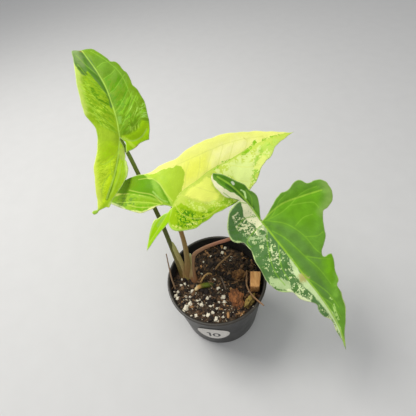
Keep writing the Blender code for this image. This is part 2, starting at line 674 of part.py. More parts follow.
def make_stem_and_petioles(collection, blades):
    stem = new_object("stem", sweep(STEM_PATH, PETIOLE_SIDES), collection, new_material("stem"))
    shade(stem)
    grown = [sweep(STEM_PATH, PETIOLE_SIDES, CLEARANCE)]
    for name in ("c", "a", "b"):
        path = petiole_path(name, blades[name])
        flap = sweep(SHEATH_PATHS[name], FLAP_SIDES, 0.0, (sheath_side(name), SHEATH_THICKNESS))
        node = "petiole_" + name
        petiole = new_object(node, sweep(path, PETIOLE_SIDES), collection, new_material(node))
        combine(petiole, [flap], "UNION")
        combine(petiole, [mesh.copy() for mesh in grown], "DIFFERENCE")
        keep_largest_body(petiole)
        shade(petiole)
        grown.append(sweep(path, PETIOLE_SIDES, CLEARANCE))
        grown.append(sweep(SHEATH_PATHS[name], FLAP_SIDES, CLEARANCE, (sheath_side(name), SHEATH_THICKNESS)))
    return grown


def over_soil(path, surface):
    """Turns each point's lift over the soil into its height."""
    return [(x, y, surface(x, y) + lift, radius) for x, y, lift, radius in path]


def make_roots(collection, surface):
    grown = []
    for name, path in ROOT_PATHS.items():
        placed = over_soil(path, surface)
        root = new_object(name, sweep(placed, ROOT_SIDES), collection, new_material("straw"))
        shade(root)
        grown.append(sweep(placed, ROOT_SIDES, CLEARANCE))
    placed = over_soil(CUTTING_STUB_PATH, surface)
    stub = new_object("cutting_stub", sweep(placed, PETIOLE_SIDES), collection, new_material("stub"))
    shade(stub)
    grown.append(sweep(placed, PETIOLE_SIDES, CLEARANCE))
    return grown


def lump_mesh(centre, half_size, turn, tilt, roughness, grow):
    """A rough rounded piece: a ball pushed in and out by noise, then squashed and turned."""
    bm = bmesh.new()
    bmesh.ops.create_icosphere(bm, subdivisions=2, radius=1.0)
    for vertex in bm.verts:
        bump = 1 + roughness * noise.noise(vertex.co * 2.1 + Vector(centre))
        vertex.co *= bump
        vertex.co = Vector([c * (half + grow) for c, half in zip(vertex.co, half_size)])
    spin = Matrix.Rotation(math.radians(turn), 4, "Z")
    lean = Matrix.Rotation(math.radians(tilt[0]), 4, "X") @ Matrix.Rotation(math.radians(tilt[1]), 4, "Y")
    bm.transform(Matrix.Diagonal((MM, MM, MM, 1)) @ Matrix.Translation(centre) @ spin @ lean)
    return mesh_from_bmesh("lump", bm)


def tan_chip_mesh(centre, grow):
    """The cut wood chip: a box with rounded edges."""
    bm = bmesh.new()
    bmesh.ops.create_cube(bm, size=1.0)
    for vertex in bm.verts:
        vertex.co = Vector([c * (size + 2 * grow) for c, size in zip(vertex.co, TAN_CHIP_SIZE)])
        vertex.co.x += 0.10 * vertex.co.y * (vertex.co.x > 0)
    bmesh.ops.bevel(bm, geom=bm.edges[:], offset=TAN_CHIP_BEVEL, segments=2, profile=0.5, affect="EDGES")
    spin = Matrix.Rotation(TAN_CHIP_TURN, 4, "Z")
    bm.transform(Matrix.Diagonal((MM, MM, MM, 1)) @ Matrix.Translation(centre) @ spin)
    bmesh.ops.triangulate(bm, faces=bm.faces)
    return mesh_from_bmesh("tan_chip", bm)


def make_lumps(collection, surface):
    materials = {"bark_chip_red": "red_bark", "bark_chip_brown": "brown_bark", "fibre_lump": "straw"}
    grown = []
    for name, ((x, y, lift), half_size, turn, tilt, roughness) in LUMPS.items():
        centre = (x, y, surface(x, y) + lift)
        mesh = lump_mesh(centre, half_size, turn, tilt, roughness, 0.0)
        lump = new_object(name, mesh, collection, new_material(materials[name]))
        shade(lump)
        grown.append(lump_mesh(centre, half_size, turn, tilt, roughness, CLEARANCE))
    x, y, lift = TAN_CHIP_CENTRE
    centre = (x, y, surface(x, y) + lift)
    new_object("bark_chip_tan", tan_chip_mesh(centre, 0.0), collection, new_material("wood"))
    grown.append(tan_chip_mesh(centre, CLEARANCE))
    return grown


def main():
    clear_scene()
    collection = bpy.data.collections.new("potted_syngonium")
    bpy.context.scene.collection.children.link(collection)
    surface = thin_plate(SOIL_POINTS)
    make_pot(collection)
    make_label(collection)
    blades = {name: make_leaf(name, collection) for name in LEAVES}
    sunk_pieces = make_stem_and_petioles(collection, blades)
    sunk_pieces += make_roots(collection, surface)
    sunk_pieces += make_lumps(collection, surface)
    make_soil(collection, surface, sunk_pieces)


main()
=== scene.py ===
"""Looks for the potted variegated arrowhead vine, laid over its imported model.

Everything is made in millimetres in the model's own frame: origin at the centre of the
pot's foot, +Z up, the pot's label towards -Y. MM turns millimetres into Blender's metres.
Leaf drawings use each leaf's own plane: x runs from the stalk to the tip, y to the left.
"""
import json
import math
import random

import bmesh
import bpy
import numpy as np
from mathutils import Matrix, Vector, noise
from mathutils.geometry import delaunay_2d_cdt

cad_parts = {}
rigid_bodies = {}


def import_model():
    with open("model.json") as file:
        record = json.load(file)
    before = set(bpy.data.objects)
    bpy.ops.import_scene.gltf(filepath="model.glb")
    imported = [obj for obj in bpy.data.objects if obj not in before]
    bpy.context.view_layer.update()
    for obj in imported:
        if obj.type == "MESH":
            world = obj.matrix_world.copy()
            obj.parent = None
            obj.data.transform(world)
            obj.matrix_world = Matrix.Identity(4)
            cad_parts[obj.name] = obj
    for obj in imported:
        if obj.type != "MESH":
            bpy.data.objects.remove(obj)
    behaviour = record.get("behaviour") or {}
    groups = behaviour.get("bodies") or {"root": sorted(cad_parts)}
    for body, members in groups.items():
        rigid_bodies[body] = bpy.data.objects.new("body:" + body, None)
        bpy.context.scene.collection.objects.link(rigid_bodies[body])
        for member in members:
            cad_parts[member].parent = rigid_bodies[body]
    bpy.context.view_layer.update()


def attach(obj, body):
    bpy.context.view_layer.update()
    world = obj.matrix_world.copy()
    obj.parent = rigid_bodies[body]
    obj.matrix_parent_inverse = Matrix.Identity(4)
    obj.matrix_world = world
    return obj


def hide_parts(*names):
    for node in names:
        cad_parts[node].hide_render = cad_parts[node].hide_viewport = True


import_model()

MM = 0.001
CENTIMETRES = 0.1
TO_METRES = Matrix.Diagonal((MM, MM, MM, 1))
FLAT = (0.0, 0.0, 0.0)

# Camera: where the photograph was taken from, how far it looks down, and how far it is rolled.
CAMERA_PLACE = (1.5, -160.0, 363.0)
CAMERA_PITCH = math.radians(48.8)
CAMERA_ROLL = math.radians(-8.3)
CAMERA_LENS = 27.69
CAMERA_SENSOR = 36.0

# Lights and the pale surround. The lights' places, targets and sizes are in metres, their power in watts.
LIGHTS = {
    "key": {"place": (-0.45, 0.35, 0.95), "target": (0, 0.05, 0.1), "size": 0.55, "power": 8.7,
            "tint": (1.0, 0.99, 0.96)},
    "fill": {"place": (0.5, -0.7, 0.8), "target": (0, 0, 0.1), "size": 0.8, "power": 1.5,
             "tint": (0.97, 0.98, 1.0)},
}
SURROUND_COLOUR = (0.95, 0.97, 1.0, 1.0)
SURROUND_STRENGTH = 0.47
FLOOR_RADIUS = 3.0

POT_HEIGHT = 75.0
RIM_RADIUS = 50.0
WALL_TOP_RADIUS = 48.4
FOOT_RADIUS = 41.0
FOOT_ROUND = 2.2
WALL = 1.3
FLOOR = 1.8
LIP_HEIGHT = 2.8
POT_SIDES = 144
DRAIN_COUNT = 6
DRAIN_RADIUS = 3.6
DRAIN_RING_RADIUS = 28.0
DRAIN_SIDES = 32

LABEL_DIAMETER = 33.0
LABEL_THICKNESS = 0.3
LABEL_CENTRE_HEIGHT = 41.0
LABEL_ANGLE = math.radians(-104.5)
LABEL_LIFT = 0.3
LABEL_EDGE_LIFT = 0.12
LABEL_RINGS = 14
LABEL_SIDES = 72
INK_THICKNESS = 0.12
MARKER_RADIUS = 1.15
# The digits lie a little left of the label's centre and below it.
DIGITS_SHIFT = (-0.6, -3.2)
DIGIT_ONE = [(-5.2, 4.2), (-3.2, 6.4), (-3.0, 1.0), (-3.1, -5.4)]
NOUGHT_CENTRE = (3.6, 0.4)
NOUGHT_HALF_SIZE = (3.1, 5.6)

SOIL_RINGS = 62
SOIL_SIDES = 220
SOIL_GAP = 0.3
SOIL_EDGE_RADIUS = 46.0
LITTER_REACH = 44.0

LEAF_GRID = 0.85
LEAF_THICKNESS = 0.45
TROUGH_REACH = 14.0
PUCKER = {"a": 0.42, "b": 0.12, "c": 0.5}
PUCKER_REACH = 3.2
PUCKER_EDGE = 4.0
RIPPLE_HEIGHT = 0.5
RIPPLE_SCALE = 0.11
RIPPLE_EDGE = 6.0
# Side veins leave their rib at a slant: this far along it for each millimetre away from it.
VEIN_SLANT = 0.62
VEIN_BEND = 0.006
# The ribs stand out on the underside, the midrib less and less towards the tip.
RIB_HEIGHT = 1.6
RIB_WIDTH = 1.1
RIB_REACH = 125.0
SIDE_RIB_HEIGHT = 0.35
SIDE_RIB_WIDTH = 0.7
EDGE_THINNESS = 0.55
EDGE_REACH = 4.0
SIDE_VEIN_WIDTH = 0.75
MIDRIB_STRENGTH = 0.8
MARGIN_WIDTH = 0.8
MARGIN_STRENGTH = 0.35
MARGIN_TINT = (226, 236, 170)
UNDERSIDE_STRENGTH = 0.35
UNDERSIDE_TINT = (150, 180, 110)

# Soil surface: x, y and height of a few points, from the higher front left to the low right edge.
SOIL_POINTS = [
    (0, 40, 62), (-35, 20, 64), (35, 25, 60), (0, 0, 65), (-25, 5, 66), (30, 0, 62), (45, -5, 59),
    (-40, -15, 69), (-20, -38, 71), (5, -44, 71), (25, -36, 67), (40, -22, 62), (15, -20, 66),
]

# Leaves, as in the solids: frame, lifts over the leaf's plane, dip along the veins, curl of the tip,
# veins and outline. "side_veins" are the thin veins that the markings follow.
LEAVES = {
    "a": {
        "stalk": (-70, 93, 190), "tip": (-101, 181, 237), "roll": 0.0, "trough": 0.2, "curl": (98, 0.045),
        "heights": [
            (0, 0, 0), (35, -6, 2), (70, -6, 3), (100, -2, 2), (30, 22, 8), (70, 14, 7), (100, 10, 4),
            (20, -32, -3), (50, -33, -2), (80, -26, -2), (105, -10, -1), (-20, 22, 1), (-40, 30, -1),
            (-60, 42, -5), (-30, 4, -4), (-50, 18, -6), (-12, -6, -5), (-14, -22, -12), (0, -28, -6),
        ],
        "midrib": [(0, 0), (18, -4), (36, -6), (53, -7), (68, -6), (82, -4), (104, 0), (117, 2)],
        "lobe_veins": [
            [(0, 0), (-18, 9), (-34, 19), (-50, 32)], [(0, 0), (-5, -10), (-3, -20), (2, -27)],
        ],
        "side_veins": [
            [(5, -2), (19, -14), (34, -25), (38, -28)], [(46, -7), (49, -14), (58, -24), (63, -29)],
            [(63, -8), (67, -17), (71, -22)], [(78, -7), (82, -14), (82, -21)],
            [(26, -6), (33, -15), (44, -25)],
            [(2, -7), (13, -25), (28, -28), (36, -26), (63, -26), (81, -20), (100, -8)],
            [(23, -4), (33, 1), (42, 6), (54, 9), (62, 9)], [(7, -1), (19, 6), (29, 10), (38, 15)],
            [(4, 0), (10, 6), (15, 11), (29, 12), (41, 14), (57, 14)],
            [(44, -6), (56, 0), (68, 5), (84, 9)], [(66, -6), (80, 1), (96, 7)],
            [(-11, 6), (-16, 11), (-20, 18), (-21, 23), (-19, 25)], [(-19, 16), (-25, 18), (-34, 20)],
            [(-8, 4), (-22, 5), (-36, 12), (-46, 20)], [(-28, 15), (-34, 26), (-44, 34)],
        ],
        "outline": [
            [(0, 0), (-2.5, -1.5), (-5.5, -3), (-9, -2), (-13, -0.5), (-16, 0.5)],
            [(-16, 0.5), (-14.5, -2.5), (-14, -5), (-13, -8), (-11, -12), (-9, -15), (-8, -18.5),
             (-7.5, -22), (-7.5, -25.5)],
            [(-7.5, -25.5), (-4, -27), (0.5, -29.5), (4.5, -31), (9, -32.5), (15, -33.5), (19.5, -34.5),
             (24.5, -35.5), (29.5, -36), (34, -35.5), (39.5, -35), (43.5, -34.5), (47, -33), (50, -32),
             (55, -32.5), (61.5, -32.5), (65.5, -32), (68, -30.5), (71.5, -29.5), (75.5, -29),
             (79.5, -27.5), (81.5, -25.5), (82.5, -22), (86.5, -20.5), (90.5, -18.5), (95, -16),
             (100, -13), (107, -10), (112.5, -6), (116, -1.5), (116.5, 2)],
            [(116.5, 2), (112.5, 6.5), (104, 9), (98, 10), (93, 10.5), (85, 12), (77.5, 13.5), (70, 15),
             (61, 17), (54, 18), (46, 19), (40, 20), (33.5, 20.5), (27.5, 21), (22, 19.5), (17.5, 18),
             (13, 17), (9, 17.5), (4, 18.5), (-1, 20.5), (-8, 23.5), (-13, 26.5), (-17, 29), (-21, 31.5),
             (-25.5, 33), (-30, 34), (-34, 35.5), (-39, 37), (-44, 38.5), (-49, 39.5), (-53, 41),
             (-56.5, 42.5), (-56.5, 45.5), (-57.5, 47.5)],
            [(-57.5, 47.5), (-59.5, 47), (-60, 45.5), (-59.5, 43.5), (-58, 41.5), (-57.5, 38.5),
             (-57, 35), (-58, 33), (-56.5, 31), (-53, 28), (-50.5, 24), (-47, 19.5), (-44, 15.5),
             (-40.5, 11.5), (-37.5, 8), (-33.5, 5.5), (-30.5, 4), (-26.5, 3.5), (-24, 3), (-21.5, 3.5),
             (-18.5, 2), (-14.5, 1), (-10.5, 0), (-7, 0), (-3.5, 0.5), (0, 0)],
        ],
    },
    "b": {
        "stalk": (-28, 20, 165), "tip": (90, 77, 180), "roll": 14.0, "trough": 0.14, "curl": (999, 0.0),
        "heights": [
            (0, 0, 0), (30, 9, 0), (60, 11, 0), (95, 10, 0), (131, 0, 0), (20, 40, 6), (55, 42, 8),
            (90, 30, 5), (112, 14, 2), (40, -28, -14), (75, -18, -9), (105, -4, -1), (0, -28, -11),
            (-20, 30, -7), (-43, 38, -21), (-20, 47, -13), (-25, 14, -10), (-20, -8, -12),
            (-36, -20, -24), (-10, -16, -8),
        ],
        "midrib": [(0, 0), (6, 3), (15, 7), (30, 9), (47, 11), (66, 10), (89, 10), (109, 7), (127, 2)],
        "lobe_veins": [
            [(0, 0), (-12, 15), (-25, 30), (-37, 44)], [(0, 0), (-10, -3), (-22, -6), (-31, -8)],
        ],
        "side_veins": [
            [(10, 36), (20, 30), (35, 28), (53, 26), (70, 24), (89, 19), (105, 12)],
            [(16, 7), (21, 12), (25, 18), (34, 26)], [(30, 9), (38, 16), (45, 25)],
            [(42, 11), (47, 16), (52, 20), (58, 25)], [(54, 11), (61, 17), (68, 23)],
            [(65, 10), (70, 14), (76, 19), (80, 22)], [(82, 10), (88, 14), (92, 18)],
            [(12, 5), (16, -2), (24, -10), (36, -17)], [(24, 8), (30, 1), (38, -7), (50, -14)],
            [(40, 10), (48, 3), (58, -6), (68, -14)], [(58, 11), (66, 4), (76, -4), (86, -8)],
            [(78, 10), (86, 4), (96, -2)], [(3, 1), (3, -8), (8, -16), (18, -21), (34, -20)],
            [(3, 4), (2, 14), (2, 24), (-1, 34), (-10, 44)], [(-5, 8), (-8, 20), (-16, 32), (-22, 44)],
            [(-8, 9), (-16, 14), (-24, 22), (-30, 32)],
        ],
        "outline": [
            [(0, 0), (-3, 4), (-6, 7), (-10, 9.5), (-14.5, 10.5), (-19, 12.5), (-22.5, 14), (-25.5, 16.5),
             (-28.5, 21), (-32, 27), (-36.5, 35), (-40.5, 43.5), (-45, 53)],
            [(-45, 53), (-34, 58), (-27, 58), (-20, 56), (-14, 53), (-8, 48.5), (-3, 43), (2, 39.5),
             (6.5, 38.5), (10, 38.5), (13.5, 37.5), (17, 36.5), (20.5, 35.5), (24, 34.5), (28.5, 34.5),
             (33, 35.5), (38, 36.5), (42.5, 36.5), (47.5, 36.5), (52.5, 36), (58.5, 35.5), (64, 34),
             (70, 33.5), (75.5, 32), (81, 30), (86, 27.5), (91, 25.5), (96, 22.5), (101, 20.5),
             (105.5, 17.5), (110, 14), (114.5, 11.5), (119, 8), (123.5, 5), (128, 1.5), (131, 0)],
            [(131, 0), (125.5, 0), (119.5, -1), (115.5, -1), (111, -2), (107, -3), (104, -5), (101, -7),
             (97, -8.5), (93.5, -8.5), (90.5, -9.5), (87, -10.5), (83.5, -12.5), (81, -14.5), (78, -16.5),
             (74.5, -18.5), (70.5, -19.5), (67.5, -20.5), (64, -21.5), (57, -22.5), (50, -23.5),
             (46, -23.5), (40.5, -23), (34.5, -23), (30, -22.5), (26.5, -22.5), (23, -23.5), (20, -24),
             (16.5, -24), (13, -24), (10, -24.5), (6.5, -24.5), (2, -23), (-1.5, -21.5), (-4.5, -20),
             (-8, -17.5), (-10, -14.5), (-10.5, -11.5), (-10, -8)],
            [(-10, -8), (-14, -8.5), (-18.5, -8.5), (-23.5, -9), (-28.5, -10), (-32.5, -11), (-37, -12)],
            [(-37, -12), (-34.5, -9), (-31, -6), (-27, -2.5), (-23, 0), (-19, 2), (-17, 2), (-14.5, 1),
             (-11.5, 0.5), (-8.5, 0), (-5.5, -1), (-3, -0.5), (0, 0)],
        ],
    },
    "c": {
        "stalk": (46, 11, 140), "tip": (100, -83, 70), "roll": 15.0, "trough": 0.16, "curl": (999, 0.0),
        "heights": [
            (0, 0, 0), (30, 2, 4), (60, 4, 6), (95, 6, 4), (130, 0, 0), (20, -25, -3), (50, -24, -2),
            (30, 45, 4), (60, 34, 4), (95, 22, 1), (0, -29, -5), (15, 65, 2), (-4, 62, 2), (-10, 34, 2),
            (-30, 0, 9), (-58, -12, 15), (-44, 4, 13), (-40, -16, 13), (-20, -20, 5),
        ],
        "midrib": [(0, 0), (12, 1), (29, 2), (60, 4), (85, 6), (110, 5), (126, 1)],
        "lobe_veins": [
            [(0, 0), (-12, -1), (-27, -3), (-42, -8), (-52, -13)], [(0, 0), (-3, 22), (1, 42), (6, 60)],
        ],
        "side_veins": [
            [(0, 0), (2, 5), (3, 17), (2, 28), (-1, 40), (-1, 49), (1, 58)],
            [(2, 28), (6, 38), (11, 47), (17, 48)], [(2, 5), (0, 13), (-6, 22), (-8, 30)],
            [(1, 3), (12, 15), (21, 20), (31, 23), (43, 24), (50, 26)], [(19, 22), (17, 32), (19, 40)],
            [(12, 3), (22, 8), (34, 11), (44, 13), (54, 16), (64, 18), (76, 19)],
            [(7, 2), (16, -5), (31, -12), (44, -15), (56, -14)], [(22, 2), (31, -3), (42, -8), (54, -9)],
            [(60, 4), (70, 9), (82, 13), (96, 14)], [(44, 13), (52, 22), (58, 30)],
            [(80, 6), (90, 10), (104, 11)], [(-6, -1), (-10, -12), (-6, -22)],
            [(-20, -3), (-26, -10), (-38, -16)], [(-14, -1), (-22, 3), (-30, 2)],
            [(3, 1), (4, -10), (8, -20), (14, -20)], [(31, 23), (36, 32), (36, 38)],
        ],
        "outline": [
            [(0, 0), (-6, 2.5), (-11, 5), (-16, 7), (-20, 8), (-23.5, 7.5), (-26.5, 6), (-28.5, 4.5),
             (-31, 4), (-34, 3.5), (-37, 1.5), (-41, -1.5), (-46.5, -5), (-51.5, -8.5), (-55, -12.5),
             (-56.5, -14.5)],
            [(-56.5, -14.5), (-55, -17), (-53, -18.5), (-50, -19), (-45.5, -19.5), (-41.5, -18.5),
             (-37, -17.5), (-33, -15.5), (-29.5, -11.5), (-25, -7)],
            [(-25, -7), (-25, -10.5), (-24.5, -14.5), (-23, -18.5), (-20, -22), (-17, -24.5),
             (-13, -27.5), (-9, -29.5), (-4.5, -30.5), (-1, -31), (2, -30), (4.5, -28), (6, -25),
             (7.5, -23), (10.5, -22.5), (14, -22), (17, -21.5), (20.5, -22.5), (24, -23.5), (27.5, -24),
             (31, -24), (35.5, -24), (40, -24.5), (44, -25), (48.5, -24.5), (52, -23.5), (55.5, -22.5),
             (58.5, -20.5), (61, -17.5), (63, -14), (64.5, -12), (67.5, -11), (71, -10.5), (74, -8.5),
             (76.5, -6.5), (79, -4), (82, -1.5), (84.5, -1), (86.5, -2), (89.5, -2.5), (93, -2),
             (95.5, -1), (99, 1.5), (102, 2.5), (105, 2.5), (108.5, 1.5), (112, 1), (116, 1), (119, 1),
             (122.5, 1), (126, 0), (129.5, -0.5)],
            [(129.5, -0.5), (126, 1.5), (122, 3.5), (117.5, 6), (113.5, 9), (110, 12), (105, 15.5),
             (101, 18.5), (96.5, 20.5), (91.5, 21.5), (87.5, 23), (84, 23), (81, 23), (79, 24),
             (77.5, 26.5), (75, 27.5), (71, 28), (67.5, 29), (64, 31), (61, 32.5), (58, 33.5), (55, 34)],
            [(55, 34), (54, 31.5), (54, 28), (53, 26.5), (51, 26.5), (48, 28.5), (46, 31.5), (44, 34),
             (41.5, 37), (39, 39), (36.5, 40), (32.5, 42), (28, 44.5), (24, 47.5), (21.5, 50), (21.5, 54),
             (20.5, 57.5), (19, 61.5), (16, 64.5), (12.5, 66.5), (9.5, 67.5), (6, 67.5), (2.5, 67.5),
             (0, 66), (-2.5, 64), (-4, 61), (-5, 58), (-5, 55.5), (-6, 52.5), (-7.5, 51), (-10.5, 49.5),
             (-12, 48), (-13, 46), (-13, 42.5), (-12, 39.5), (-10.5, 35.5), (-10.5, 31.5), (-11.5, 28),
             (-10.5, 24.5), (-9.5, 21), (-7, 16.5), (-5, 12.5), (-2.5, 8.5), (-1, 5), (0, 0)],
        ],
    },
}


def area(name, colour, wander, blur, ring, **flecks):
    """A painted patch inside a closed ring of points."""
    return name, colour, {"wander": wander, "blur": blur, "area": ring, **flecks}


def stripe(name, colour, wander, blur, half_width, line, **flecks):
    """A painted patch along a line, half_width to each side of it."""
    return name, colour, {"wander": wander, "blur": blur, "stripe": (half_width, line), **flecks}


